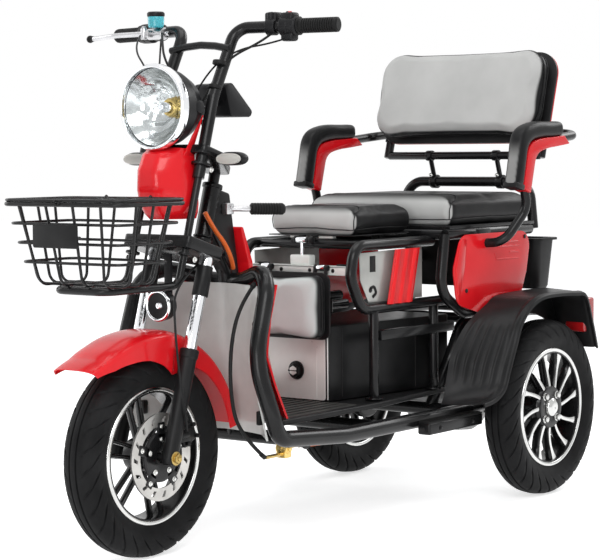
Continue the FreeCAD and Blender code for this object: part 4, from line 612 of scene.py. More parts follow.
def tube(form, points, diameter, bend=0.0, sides=16, closed=False):
    """A round tube along straight runs joined by arcs, its ends closed"""
    curve, run = new_curve("POLY", rounded(points, bend, 8, closed) if bend else points)
    run.use_cyclic_u = closed
    curve.bevel_depth = diameter / 2
    curve.bevel_resolution = (sides - 4) // 2
    curve.use_fill_caps = True
    mesh = as_mesh(curve)
    form.from_mesh(mesh)
    bpy.data.meshes.remove(mesh)


def plate(form, outline, push, edge=1.0, corner=0.0):
    """A flat plate: an outline pushed out to its thickness, its edges rounded"""
    line = rounded(outline, corner, 5, True) if corner else [Vector(p) for p in outline]
    face = form.faces.new([form.verts.new(p) for p in line])
    made = bmesh.ops.extrude_face_region(form, geom=[face])["geom"]
    verts = [g for g in made if isinstance(g, bmesh.types.BMVert)]
    bmesh.ops.translate(form, vec=push, verts=verts)
    faces = list({f for v in verts for f in v.link_faces} | {face})
    if edge > 0:
        bmesh.ops.recalc_face_normals(form, faces=faces)
        edges = {e for f in faces for e in f.edges}
        soften(form, [e for e in edges if len(e.link_faces) == 2 and e.calc_face_angle() > 0.7], edge)


form = bmesh.new()
for y in (leg_y, -leg_y):
    rod(form, fork_line(165, y), steer_point(624, 63 * math.cos(rake), y), 28, 1.5, 40)
fit(form, "fork_tubes", chrome, "steering", "chrome", "fork_stanchions")
form = bmesh.new()
for y in (leg_y, -leg_y):
    rod(form, fork_line(336, y), fork_line(400, y), 34, 2, 40)
fit(form, "fork_sleeves", satin_black, "steering", "frame_black")
form = bmesh.new()
for side in (1, -1):
    y = side * leg_y
    leg = [(-14, 9), (-14, 15), (-4, 17), (150, 17), (205, 17.4), (208, 19.6), (222, 20), (225, 18.6),
           (225, 14.2), (40, 14.2)]
    lathe(form, leg, 1.6, 2, fork_line(0, y), 40, steer_up)
    block(form, front_axle_x - 13, front_axle_x + 13, y - 12, y + 12, 196, 218, 4)
block(form, 476, 528, 63.5, 72, 236, 262, 2)
block(form, 488, 520, 62, 80, 246, 258, 3)
rod(form, (front_axle_x, -86, axle_height), (front_axle_x, 86, axle_height), 14, 1)
fit(form, "fork_legs", satin_black, "steering", "frame_black", "fork_lowers")
form = bmesh.new()
for side in (1, -1):
    spot = Vector((front_axle_x, side * 88, axle_height))
    bolt(form, spot, (0, side, 0), 19, 7)
    rod(form, spot, spot + Vector((0, side * 12, 0)), 10, 1)
fit(form, "front_axle_nuts", gold_zinc, "steering", "zinc")


def clamp_outline(top_z, thickness, nose, shoulder, front, nose_half, half):
    """A clamp plate's outline square to the steering axis, and its push"""
    flat = [(-nose, -nose_half), (shoulder, -half), (front, -half), (front, half), (shoulder, half),
            (-nose, nose_half)]
    low = steer_point(top_z) - steer_up * thickness
    return [low + steer_ahead * a + Vector((0, y, 0)) for a, y in flat], steer_up * thickness


form = bmesh.new()
plate(form, *clamp_outline(crown_top, 26, 22, 34, 145, 24, 90), 3, 10)
plate(form, *clamp_outline(plate_top, 18, 20, 89, 149.5, 24, 90.5), 3, 10)
rod(form, steer_point(596), steer_point(797), 24, 0, 32)
rod(form, steer_point(797), steer_point(808), 30, 2, 6)
for y in (riser_y, -riser_y):
    for z, across in ((crown_top, 30), (plate_top, 40)):
        spot = steer_point(z, riser_ahead, y)
        rod(form, spot - steer_up, spot + steer_up * 5, across, 1.5, 32)
fit(form, "fork_clamps", frame_black, "steering", "frame_black", "fork_crown")
form = bmesh.new()
for side in (1, -1):
    for z in (609, 791):
        bolt(form, steer_point(z, 118, side * 90.4), (0, side, 0), 8, 3)
fit(form, "clamp_bolts", bright_bolt, "steering", "zinc")

# Brake caliper: a black casting that straddles the disc on the left leg, with
# slide pins, a round piston housing and a hose joint.
there = Matrix.Translation((front_axle_x, 0, axle_height)) @ Matrix.Rotation(math.radians(-62), 4, "Y")
caliper_half = 19.5
form = bmesh.new()
block(form, -caliper_half, caliper_half, 51, 62.5, 58.5, 103.5, 4, 3)
block(form, -caliper_half, caliper_half, 33.5, 43, 58.5, 103.5, 4, 3)
block(form, -caliper_half, caliper_half, 40, 55, 96.5, 103.5, 2, 2)
rod(form, (0, 60, 78), (0, 66, 78), 30, 2, 32)
rod(form, (0, 64, 78), (0, 68, 78), 18, 1.5, 32)
for x in (-14, 14):
    rod(form, (x, 40, 99), (x, 70, 99), 9, 1.5)
rod(form, (-12, 62, 66), (-12, 70, 66), 11, 1, 6)
bmesh.ops.transform(form, matrix=there, verts=form.verts)
fit(form, "caliper_body", satin_black, "steering", "cast_black", "brake_caliper")

# Handlebar: 25 mm tube, bent out from the two risers, with a crossbar, and
# the thinner basket carrier that runs down and forward from the upper clamp.
bar_z = 1084
bar_bend_x = 316
bar_end_x, bar_end_y = 270, 300
form = bmesh.new()
for side in (1, -1):
    riser = [steer_point(774, riser_ahead, side * riser_y), steer_point(940, riser_ahead, side * riser_y)]
    tube(form, riser + [(bar_bend_x, side * riser_y, bar_z), (bar_end_x, side * bar_end_y, bar_z)],
         25, 34, 24)
tube(form, [(349, -80, 1040), (348, -40, 1047), (347, 0, 1050), (348, 40, 1047), (349, 80, 1040)], 16, 60, 16)
carrier_z = 556.7
top = steer_point(776, riser_ahead, riser_y)
low = steer_point(carrier_z, riser_ahead, riser_y)
mirror_y = Vector((1, -1, 1))
tube(form, [top, low, (724, riser_y, carrier_z), (724, -riser_y, carrier_z), low * mirror_y, top * mirror_y],
     16, 30, 16)
fit(form, "bars_and_carrier", frame_black, "steering", "frame_black", "handlebar")

# Grips: moulded rubber sleeves pushed on the bar's ends, with rings of ribs
# and a flange inboard.
rubber = finish("moulded_rubber", (0.008, 0.008, 0.008), 0.55, mottle=0.25, grain=1500, depth=0.00008,
                shine=0.15)


def along_bar(side, out):
    """A point on the bar's middle line, so far inboard from its end"""
    end = Vector((bar_end_x, side * bar_end_y, bar_z))
    return end + (Vector((bar_bend_x, side * riser_y, bar_z)) - end).normalized() * out


form = bmesh.new()
for side in (1, -1):
    start = along_bar(side, 0)
    way = (along_bar(side, 10) - start).normalized()
    sleeve = [(-3, POLE), (-3, 12), (-1, 15.2), (2, 15.6)]
    reach = 6
    while reach < 78:
        sleeve += [(reach, 15.6), (reach + 0.6, 14), (reach + 2, 14), (reach + 2.6, 15.6)]
        reach += 5.2
    sleeve += [(83, 15.4), (84.5, 19.2), (87, 19.2), (88, 17.5), (88, 12.6), (0, 12.6), (0, POLE)]
    spun(form, sleeve, start, 40, way)
fit(form, "grip_rubbers", rubber, "steering", "rubber_black", "grips", angle=28)

# Controls: switch pods, lever perches, brake lever with its master cylinder
# on the right, all moulded or cast black and clamped round the bar.
pod_reach = 109
perch_reach = 149
switch_black = finish("switch_black", (0.008, 0.008, 0.009), 0.4, mottle=0.2, grain=1600, depth=0.00005,
                      shine=0.17)
form = bmesh.new()
for side in (1, -1):
    start = along_bar(side, 0)
    way = (along_bar(side, 10) - start).normalized()
    pod = [(89, 12.6), (89, 18), (93, 21), (108, 21.4), (109, 20.4), (110, 21.4), (125, 21), (129, 18),
           (129, 12.6)]
    lathe(form, pod, 2, 3, start, 40, way)
    ring = [(138, 12.6), (138, 18), (160, 18), (160, 12.6)]
    lathe(form, ring, 2, 3, start, 40, way)
    spot = along_bar(side, perch_reach)
    rod(form, spot + Vector((2, 0, 6)), spot + Vector((6, 0, 30)), 15, 3)
    spot = along_bar(side, pod_reach)
    block(form, spot.x - 30, spot.x - 12, spot.y - 12, spot.y + 12, spot.z - 8, spot.z + 10, 3)
spot = along_bar(1, pod_reach)
block(form, spot.x - 14, spot.x + 15, spot.y - 16, spot.y + 17, spot.z + 10, spot.z + 28, 6, 3)
block(form, spot.x - 12, spot.x + 14, spot.y - 15, spot.y + 16, spot.z - 31, spot.z - 12, 6, 3)
rod(form, spot + Vector((-4, -6, 26)), spot + Vector((-4, -6, 31)), 10, 1.5)
block(form, spot.x - 16, spot.x + 14, spot.y - 56, spot.y - 26, spot.z - 8, spot.z + 30, 5, 3)
fit(form, "switch_pods", switch_black, "steering", "plastic_black", "controls")
form = bmesh.new()
for side in (1, -1):
    spot = along_bar(side, pod_reach)
    rod(form, spot + Vector((-31.5, 0, 2)), spot + Vector((-29, 0, 2)), 9, 1)
spot = along_bar(1, pod_reach)
rod(form, spot + Vector((6, 6, 26.5)), spot + Vector((6, 6, 30)), 8, 1)
button_red = finish("button_red", (0.55, 0.03, 0.03), 0.35, mottle=0.1, grain=900, depth=0.00003)
fit(form, "switch_buttons", button_red, "steering", "plastic_red")

cast_metal = finish("cast_metal", (0.55, 0.55, 0.56), 0.34, metal=1.0, mottle=0.15, grain=500, depth=0.00008)
form = bmesh.new()
right = along_bar(-1, perch_reach)
bore = [(-14, POLE), (-14, 10), (-10, 12), (28, 12), (30, 13.5), (34, 13), (34, POLE)]
lathe(form, bore, 1.2, 2, right + Vector((24, 0, -4)), 32, looped=False)
block(form, right.x + 10, right.x + 48, right.y - 12, right.y + 8, right.z - 12, right.z + 4, 3)
rod(form, right + Vector((44, -8, -16)), right + Vector((44, -8, 8)), 14, 1.5)
bolt(form, right + Vector((44, -8, 8)), (0, 0, 1), 8, 2.5)
rod(form, right + Vector((24, 36, -4)), right + Vector((24, 46, -4)), 9, 1)
fit(form, "master_cylinder", cast_metal, "steering", "cast_black")
form = bmesh.new()
lever_steps = [(44, -8, -4), (66, -70, -6), (60, -120, -9), (56, -150, -10)]
lever = rounded([right + Vector(step) for step in lever_steps], 50, 6)
tube(form, lever, 11, 0, 16)
fit(form, "brake_lever", cast_metal, "steering", "cast_black")
form = bmesh.new()
tip = lever[-1]
rod(form, lever[-1].lerp(lever[-3], 0.12), tip + (tip - lever[-3]).normalized() * 3, 12.5, 2)
bmesh.ops.create_uvsphere(form, u_segments=24, v_segments=14, radius=8.2,
                          matrix=Matrix.Translation(tip + Vector((-1, -5, 0))))
fit(form, "lever_tip", rubber, "steering", "rubber_black")

form = bmesh.new()
foot = right + Vector((36, 20, 8.3))
pot = [(0, POLE), (0, 15.5), (3, 17), (24, 18), (24, POLE)]
lathe(form, pot, 1.5, 3, foot, 40, (0, 0, 1), looped=False)
tinted = finish("tinted_tank", (0.1, 0.62, 0.72), 0.2, mottle=0.1, grain=200, depth=0.00002)
tinted.node_tree.nodes["Principled BSDF"].inputs["Transmission Weight"].default_value = 0.35
fit(form, "fluid_pot", tinted, "steering", "reservoir_clear", "fluid_reservoir")
form = bmesh.new()
lid = [(24, POLE), (24, 19), (31, 19), (34, 16), (34, POLE)]
lathe(form, lid, 1.5, 3, foot, 40, (0, 0, 1), looped=False)
fit(form, "fluid_pot_cap", switch_black, "steering", "plastic_black")

# Headlamp: a turned black bucket with ears, a chromed rim, a bright
# reflector with its bulb, and a clear domed glass with fine flutes.
lamp_z = 919
lamp_spot = Vector((0, 0, lamp_z))
lamp_ear_x = 443
glass_radius = 80.5
form = bmesh.new()
bucket = [(393, POLE), (393, 30), (400, 44), (420, 64), (452, 78), (484, 83), (491, 83), (491, 76), (470, 70),
          (420, 40), (410, POLE)]
lathe(form, bucket, 9, 5, lamp_spot, 72, (1, 0, 0), looped=False)
for side in (1, -1):
    rod(form, (lamp_ear_x, side * 40, lamp_z), (lamp_ear_x, side * 78, lamp_z), 18, 2)
    rod(form, (lamp_ear_x, side * 74, lamp_z), (lamp_ear_x, side * 79, lamp_z), 26, 2)
fit(form, "lamp_bucket", switch_black, "steering", "plastic_black", "headlamp_bucket")
form = bmesh.new()
hoop = [(491, 80), (488, 84), (489, 89), (498, 89), (505, 86), (507, 82), (505, 80)]
lathe(form, hoop, 2.5, 4, lamp_spot, 96, (1, 0, 0))
fit(form, "lamp_rim", chrome, "steering", "chrome", "headlamp_rim")
form = bmesh.new()


def reflector_spot(u, v):
    angle = 2 * math.pi * u / 96
    r = 13 + 66 * v / 16
    facets = 1.7 * math.cos(8 * angle) * math.cos(1.3 * v) + 1.3 * math.cos(5 * angle + 0.5 * v)
    fold = math.sin(math.pi * v / 16) * facets
    return Vector((440 + 55 * (r / 79) ** 2 + fold, r * math.cos(angle), lamp_z + r * math.sin(angle)))


skin(form, 96, 16, reflector_spot)
bmesh.ops.remove_doubles(form, verts=form.verts, dist=SEAM_MERGE)
walled(form, 1.2)
bright = finish("reflector_bright", (0.58, 0.59, 0.58), 0.14, metal=1.0, mottle=0.3, grain=60, depth=0.0003)
fit(form, "lamp_reflector", bright, "steering", "chrome", angle=50)
form = bmesh.new()
rod(form, (438, 0, lamp_z), (462, 0, lamp_z), 20, 3, 32)
shade = [(462, POLE), (478, POLE), (477, 6), (468, 11), (462, 11)]
lathe(form, shade, 3, 5, lamp_spot, 40, (1, 0, 0), looped=False)
fit(form, "lamp_bulb_cap", chrome, "steering", "chrome")
form = bmesh.new()
collar = [(436, 11), (452, 11), (452, 17), (446, 19), (436, 19)]
lathe(form, collar, 1.6, 3, lamp_spot, 48, (1, 0, 0))
fit(form, "lamp_bulb_collar", gold_zinc, "steering", "zinc")
form = bmesh.new()


def glass_spot(u, v):
    angle = 2 * math.pi * u / 72
    r = glass_radius * v / 14
    return Vector((506 + 12.5 * (1 - (r / glass_radius) ** 2), r * math.cos(angle),
                   lamp_z + r * math.sin(angle)))


skin(form, 72, 14, glass_spot)
bmesh.ops.remove_doubles(form, verts=form.verts, dist=SEAM_MERGE)
walled(form, 2)
glass = finish("lamp_glass", (0.96, 0.98, 1.0), 0.04, mottle=0.01, grain=60, depth=0.00002)
glass.node_tree.nodes["Principled BSDF"].inputs["Transmission Weight"].default_value = 1.0
glass.node_tree.nodes["Principled BSDF"].inputs["IOR"].default_value = 1.12
fit(form, "lamp_glass", glass, "steering", "lens", "headlamp_lens")

# Display: a moulded black wedge on a stalk between the risers, with a dark
# gloss window on its slope towards the rider.
form = bmesh.new()
wedge = [(302, 900), (322, 968), (296, 972), (228, 912), (236, 900)]
plate(form, [(x, -44, z) for x, z in wedge], (0, 88, 0), 3, 9)
block(form, 310, 393, -20, 20, 922, 934, 2)
fit(form, "display_case", switch_black, "steering", "plastic_black", "display")
form = bmesh.new()
slope = Vector((68, 0, 60)).normalized()
lift = Vector((-slope.z, 0, slope.x))
low = Vector((228, 0, 912)) + slope * 16
window = [low + Vector((0, y, 0)) + slope * a for a, y in ((0, -35), (58, -35), (58, 35), (0, 35))]
plate(form, [p - lift for p in window], lift * 2.2, 0.8, 8)
window_black = finish("window_black", (0.01, 0.012, 0.014), 0.08, mottle=0.1, grain=50, depth=0, coat=1.0)
fit(form, "display_window", window_black, "steering", "plastic_black")

# Apron: glossy red moulded plastic under the lamp, flat in its middle and
# folded back at its sides, with a narrow fin up each side of the lamp.
red_gloss = finish("red_gloss", (0.74, 0.006, 0.012), 0.22, mottle=0.05, grain=260, depth=0.00003, coat=0.16,
                   shine=0.26)
form = bmesh.new()
apron_rows = [(834, 478, 466, 46), (822, 506, 474, 49), (790, 521, 477, 54), (750, 521, 476, 58),
              (722, 514, 472, 57), (704, 503, 467, 51), (692, 492, 462, 42)]


def row_at(rows, share, eased=0.0):
    """The row at a share of the way along a table, eased a little at each one"""
    k = share * (len(rows) - 1)
    i = min(int(k), len(rows) - 2)
    t = k - i
    if eased:
        t = t * t * (3 - 2 * t) * eased + t * (1 - eased)
    return [a + (b - a) * t for a, b in zip(rows[i], rows[i + 1])]


def apron_spot(u, v):
    across = u / 16 - 1
    z, front, side_x, half = row_at(apron_rows, v / 18)
    reach = abs(across)
    if reach < 0.2:
        return Vector((front, across / 0.6 * half, z))
    if reach < 0.62:
        share = (reach - 0.2) / 0.42
        return Vector((front + (side_x - front) * share ** 1.5,
                       math.copysign(half * (0.33 + 0.63 * share), across), z))
    share = (reach - 0.62) / 0.38
    return Vector((side_x - 42 * share, math.copysign(half * (0.96 + 0.04 * min(1, share * 4)), across), z))


skin(form, 32, 18, apron_spot)
walled(form, 3)
block(form, 436, 440, -57, 57, 760, 780, 1)
fin = [(443, 816), (468, 816), (446, 860), (428, 888), (420, 902), (418.5, 902), (431, 860)]
for side in (1, -1):
    plate(form, [(x, side * (50 + 0.17 * (z - 822)), z) for x, z in fin], (0, side * 3, 0), 0.6)
fit(form, "apron_shell", red_gloss, "steering", "plastic_red", "apron", angle=40)

# Turn signals: pale moulded ovals set in black backs, on short stalks that
# are screwed to the ends of the upper clamp plate.
signal_z = 813
black = bmesh.new()
clear = bmesh.new()
for side in (1, -1):
    y = side * 128
    for form, x0, x1, half, rise in ((black, 389, 411, 34, 14), (clear, 411, 419, 31, 11.5)):
        oval = []
        for k in range(40):
            along, up = math.cos(2 * math.pi * k / 40), math.sin(2 * math.pi * k / 40)
            oval.append(Vector((x0, y + half * math.copysign(abs(along) ** 0.8, along),
                                signal_z + rise * math.copysign(abs(up) ** 0.9, up))))
        plate(form, oval, (x1 - x0, 0, 0), 3 if form is clear else 4)
    rod(black, (404, side * 90.8, signal_z), (404, y, signal_z), 12, 1)
    rod(black, (404, side * 91, signal_z), (404, side * 98, signal_z), 17, 2)
fit(black, "signal_backs", switch_black, "steering", "plastic_black", "turn_signals")
pale_lens = finish("signal_lens", (0.9, 0.88, 0.82), 0.12, mottle=0.06, grain=140, depth=0.00012)
pale_lens.node_tree.nodes["Principled BSDF"].inputs["Transmission Weight"].default_value = 0.45
fit(clear, "signal_lenses", pale_lens, "steering", "lens")

# Basket: gloss black wire, welded at its crossings, with a hinged wire lid
# and a small bare plate hooked on the front.
wire_black = finish("wire_lacquer", (0.006, 0.006, 0.0065), 0.26, mottle=0.2, grain=600, depth=0.00004,
                    coat=0.06, shine=0.2)
basket_front, basket_rear, basket_half, rim_z, basket_floor, taper = 778, 578, 157, 728, 568, 34


def hoop_points(level):
    """Corners of a basket hoop, level 1 at the rim and 0 at the floor"""
    inset = taper * (1 - level)
    z = basket_floor + (rim_z - basket_floor) * level
    x0, x1, y = basket_rear + inset, basket_front - inset, basket_half - inset
    return [(x0, -y, z), (x1, -y, z), (x1, y, z), (x0, y, z)]


form = bmesh.new()
tube(form, hoop_points(1), 9, 24, 12, True)
for level in (0.28, 0.52, 0.76):
    tube(form, hoop_points(level), 6, 24, 10, True)
for share in (-0.7, -0.23, 0.23, 0.7):
    y = share * basket_half
    low = share * (basket_half - taper)
    tube(form, [(basket_front, y, rim_z), (basket_front - taper, low, basket_floor),
                (basket_rear + taper, low, basket_floor), (basket_rear, y, rim_z)], 6, 24, 10)
for share in (-0.5, 0, 0.5):
    x = 678 + share * 100
    low = 678 + share * 66
    tube(form, [(x, basket_half, rim_z), (low, basket_half - taper, basket_floor),
                (low, taper - basket_half, basket_floor), (x, -basket_half, rim_z)], 6, 24, 10)
lid_z = rim_z + 4.5 + 0.3 + 3
for side in (1, -1):
    for x in (basket_rear - 2.8, basket_rear + 2.8):
        tube(form, [(x, side * 60 - 4, rim_z), (x, side * 60 + 4, rim_z)], 4, 0, 8)
    tube(form, [(basket_rear + 5, side * 60, rim_z + 2), (basket_rear + 6, side * 60, lid_z),
                (basket_rear, side * 60, lid_z + 6.3), (basket_rear - 6, side * 60, lid_z),
                (basket_rear - 5, side * 60, rim_z + 2)], 3, 3, 8)
    rod(form, (756, side * 35, 664), (788.6, side * 35, 664), 5, 0.8)
fit(form, "basket_wires", wire_black, "steering", "wire_black", "basket")
form = bmesh.new()
plate(form, [(788, -60, 644), (788, 60, 644), (788, 60, 690), (788, -60, 690)], (2, 0, 0), 0.5, 5)
fit(form, "basket_plate", satin_black, "steering", "frame_black")
form = bmesh.new()
lid_rim = ((basket_rear, -basket_half), (basket_front, -basket_half), (basket_front, basket_half),
           (basket_rear, basket_half))
tube(form, [(x, y, lid_z) for x, y in lid_rim], 6, 24, 12, True)
for share in (-0.6, -0.2, 0.2, 0.6):
    y = share * basket_half
    tube(form, [(basket_rear, y, lid_z), (basket_front, y, lid_z)], 6, 0, 10)
pull = [(-10, -8, 0), (5, -8, 0), (8.5, 0, -14), (5, 8, 0), (-10, 8, 0)]
tube(form, [(basket_front + x, y, lid_z + z) for x, y, z in pull], 3, 4, 8)
fit(form, "basket_lid_wires", wire_black, "basket_lid", "wire_black", "basket_lid")

# Front mudguard: one glossy red moulding with deep rounded sides, a turned
# edge and a flared tip, bolted to the fork's legs.
form = bmesh.new()
guard_rows = [(43, 286, 58, 22), (52, 270, 60, 30), (64, 262, 62, 40), (78, 259, 62, 54), (90, 258, 61, 72),
              (98, 258, 60, 88), (102, 258, 50, 90), (110, 257, 50, 78), (118, 257, 50, 56),
              (132, 257, 52, 46), (150, 256, 54, 40), (171, 256, 54, 38)]


def guard_spot(u, v):
    degrees, radius, half, skirt = row_at(guard_rows, v / 52, 0.5)
    a = math.radians(degrees)
    turn = (u / 28 - 0.5) * 2
    reach = abs(turn)
    if reach < 0.6:
        across = half * 0.98 * math.sin(reach / 0.6 * math.pi / 2) ** 0.95
        drop = 17 * (1 - math.cos(reach / 0.6 * math.pi / 2)) ** 1.3
    else:
        share = (reach - 0.6) / 0.4
        across = half * 0.98 + 2 * share
        drop = 17 + (skirt - 17) * share
    r = radius - drop
    return Vector((front_axle_x + r * math.cos(a), math.copysign(across, turn),
                   axle_height + r * math.sin(a)))


skin(form, 28, 52, guard_spot)
walled(form, 2.6)
fit(form, "front_guard_shell", red_gloss, "steering", "plastic_red", "front_mudguard", angle=50)

# Horn: a round black housing that hangs from the crown on a steel strap, its
# face ringed and capped with chromed pressings.
back = steer_point(512, 69)
form = bmesh.new()
horn = [(0, POLE), (0, 22), (8, 30), (22, 32), (30, 33), (34, 31), (31, 27), (28, 10), (28, POLE)]
lathe(form, horn, 3, 4, back, 56, (1, 0, 0), looped=False)
block(form, back.x - 4, back.x + 2, -9, 9, back.z, 618, 1)
fit(form, "horn_body", switch_black, "steering", "plastic_black", "horn")
form = bmesh.new()
ring = [(30, 27), (34, 27), (35.4, 30), (33, 33), (29, 33)]
lathe(form, ring, 1.4, 3, back, 56, (1, 0, 0))
boss = [(27, POLE), (34, POLE), (33, 6), (28, 8.5), (27, 8.5)]
lathe(form, boss, 2, 3, back, 32, (1, 0, 0), looped=False)
fit(form, "horn_ring", chrome, "steering", "chrome")

# Control cables: black sheathed wires and brake lines, clipped to the bars,
# drop in loose arcs behind the lamp to the head and down the fork.


def smooth_run(points, steps=10):
    """Points along the smooth line that a cable takes between its clips"""
    curve, run = new_curve("NURBS", points)
    run.order_u = 3
    run.use_endpoint_u = True
    curve.resolution_u = steps
    mesh = as_mesh(curve)
    spots = [v.co.copy() for v in mesh.vertices]
    bpy.data.meshes.remove(mesh)
    return spots


left = along_bar(1, perch_reach)
form = bmesh.new()
cable_runs = [
    (5, [left + Vector((2, 6, -10)), left + Vector((30, 0, -30)), (352, 76, 1020), (392, 60, 960),
         (402, 30, 900)]),
    (4, [along_bar(1, pod_reach) + Vector((0, -6, -24)), along_bar(1, 134) + Vector((20, -10, -36)),
         (330, 90, 1040), (380, 50, 1000), (400, 24, 940)]),
    (5, [right + Vector((40, 40, -4)), (400, -60, 1062), (430, -30, 1020), (420, 0, 970), (404, 12, 930)]),
    (4, [right + Vector((20, 20, -14)), (366, -96, 1040), (400, -70, 990), (404, -34, 940)]),
    (6, [(404, 30, 930), (396, 60, 860), (408, 58, 790), (424, 44, 740), (416, 30, 690)])]
for across, points in cable_runs:
    tube(form, smooth_run(points), across, 0, 10)
for side, z in ((1, 1010), (1, 960), (-1, 1000)):
    spot = steer_point(z, riser_ahead, side * riser_y)
    rod(form, spot - steer_up * 4, spot + steer_up * 4, 29, 1, 28)
fit(form, "control_cables", rubber, "steering", "rubber_black")
form = bmesh.new()
upper_line = [right + Vector((58, -6, -8)), (424, -120, 1046), (440, -70, 1000), (428, -40, 930),
              (400, -30, 850), (400, -10, 760), (414, 16, 690)]
lower_line = [steer_point(596, 70, 60), (548, 92, 560), (560, 104, 480), (548, 104, 380), (520, 96, 300),
              (508, 88, 262)]
tube(form, smooth_run(upper_line), 4, 0, 10)
tube(form, smooth_run(lower_line), 5, 0, 10)
fit(form, "brake_lines", satin_black, "steering", "rubber_black")

# Main frame: one bent steel tube runs down both sides and back under the
# floor, welded to the neck, cross tubes, rear rails and step bars, all black.
floor_z = 219
rear_rail_z = 424
cross_tubes = (250, 0, -330)
rear_tubes = (-460, -735)
form = bmesh.new()
left_run = [(266, 36, 550), (340, 176, 590), (402, 182, 400), (384, 212, 285), (362, 212, 237),
            (140, 212, floor_z), (-350, 212, floor_z)]
tube(form, left_run[::-1] + [(x, -y, z) for x, y, z in left_run], 35, 210, 28)
tube(form, [steer_point(666) - Vector((12, 0, 0)), (278, 0, 580), (262, 0, 470), (250, 0, floor_z)],
     31, 60, 24)
head = [(0, 12.6), (0, 21.5), (8, 22), (10, 19), (118, 19), (120, 22), (128, 21.5), (128, 12.6)]
lathe(form, head, 1.2, 2, steer_point(636), 40, steer_up)
for x in cross_tubes:
    rod(form, (x, -200, floor_z), (x, 200, floor_z), 30, 0, 24)
for side in (1, -1):
    tube(form, [(-330, side * 120, floor_z), (-370, side * 150, 334), (-430, side * 150, rear_rail_z),
                (-740, side * 150, rear_rail_z)], 28, 60, 24)
for x in rear_tubes:
    rod(form, (x, -180, rear_rail_z), (x, 180, rear_rail_z), 24, 1, 24)
fit(form, "frame_tubes", frame_black, "frame", "frame_black", "main_frame")


def weld(form, spot, axis, diameter):
    """A rippled bead of weld round the foot of a tube"""
    beads = []
    for k in range(10):
        turn = 2 * math.pi * k / 10
        beads.append((2.6 * math.cos(turn), diameter / 2 + 2.4 * math.sin(turn)))
    before = len(form.verts)
    spun(form, beads, spot, 48, axis)
    for i, vert in enumerate(part_of(form, before)):
        vert.co += (vert.co - Vector(spot)).normalized() * 0.5 * math.sin(i * 0.9)


form = bmesh.new()
for x in cross_tubes:
    for side in (1, -1):
        weld(form, (x, side * 195, floor_z), (0, 1, 0), 30)
for side in (1, -1):
    for x in rear_tubes:
        weld(form, (x, side * 137, rear_rail_z), (0, 1, 0), 24)
weld(form, (251, 0, 236), (0, 0, 1), 31)
weld(form, steer_point(648), steer_up, 38)
weld(form, steer_point(752), steer_up, 38)
fit(form, "frame_welds", frame_black, "frame", "frame_black")

# Gusset: a deep pressed steel box behind the head tube, its edges rolled,
# welded to the head and bolted to the down tube.
form = bmesh.new()
top = steer_point(748)
low = steer_point(642)
web = [(top.x - 8, top.z), (low.x - 8, low.z), (280, 556), (240, 552), (top.x - 44, top.z - 10)]
plate(form, [(x, -13, z) for x, z in web], (0, 26, 0), 3, 9)
for side in (1, -1):
    bolt(form, (top.x - 30, side * 13, top.z - 34), (0, side, 0), 9, 3)
    bolt(form, (292, side * 13, 610), (0, side, 0), 9, 3)
fit(form, "neck_gusset", satin_black, "frame", "frame_black")

# Step bars: pressed steel channels that two brackets each hold outside the
# frame tubes, with ribbed rubber treads pushed on.
form = bmesh.new()
treads = bmesh.new()
for side in (1, -1):
    y0, y1 = sorted((side * 226, side * 260))
    block(form, -344, -122, y0, y1, 190, 217, 5, 3)
    for x in (-300, -166):
        block(form, x - 14, x + 14, *sorted((side * 212, side * 236)), 196, 212, 2)
        bolt(form, (x, side * 260, 203), (0, side, 0), 8, 2)
    block(treads, -342, -124, y0 + 1, y1 - 1, 215, 220, 1.5)
    for k in range(20):
        x = -336 + 11 * k
        block(treads, x, x + 4, y0 + 3, y1 - 3, 219, 222, 0.8, 1)
fit(form, "step_bars", frame_black, "frame", "frame_black")
fit(treads, "step_treads", rubber, "frame", "rubber_black")

# Seat frame: bent loops of 25 mm tube at each side under the saddle, with
# rails and cross tubes that carry the bench, welded up and painted black.
loop_y = 152
loop_top, loop_low = 617, 475
rail_y, rail_z = 203, 632
form = bmesh.new()
for side in (1, -1):
    y = side * loop_y
    tube(form, [(-292, y, loop_top), (14, y, loop_top), (28, y, 546), (-12, y, loop_low),
                (-345, y, loop_low)], 25, 46, 20)
    tube(form, [(-272, side * rail_y, rail_z), (-250, side * rail_y, 500), (-350, side * rail_y, 446),
                (-440, side * rail_y, 446)], 25, 60, 20)
    rod(form, (-272, side * rail_y, rail_z), (-648, side * rail_y, rail_z), 25, 1.5)
    rod(form, (-648, side * 150, 438), (-648, side * 150, rail_z), 25, 1.5)
    for x in (-60, -300):
        rod(form, (x, y, loop_low), (x, y, 270.6), 22, 1)
        rod(form, (x, y, 270.6), (x, y, 275), 40, 1)
    block(form, -372, -74, y - 12, y + 12, 402, 424, 2)
for x in (-292, -648):
    rod(form, (x, -rail_y, rail_z), (x, rail_y, rail_z), 25, 1.5)
for x in (-30, -200):
    rod(form, (x, -loop_y, loop_top), (x, loop_y, loop_top), 20, 1.5)
block(form, -662, -285, -209, 209, 643.5, 651.5, 2)
fit(form, "seat_tubes", frame_black, "frame", "frame_black", "seat_frame")
form = bmesh.new()
for side in (1, -1):
    rubber_foot = [(-4, POLE), (-4, 8), (2, 10), (17, 10), (17, POLE)]
    lathe(form, rubber_foot, 1.5, 3, (-200, side * 60, loop_top), 32, (0, 0, 1), looped=False)
fit(form, "seat_buffers", rubber, "frame", "rubber_black")

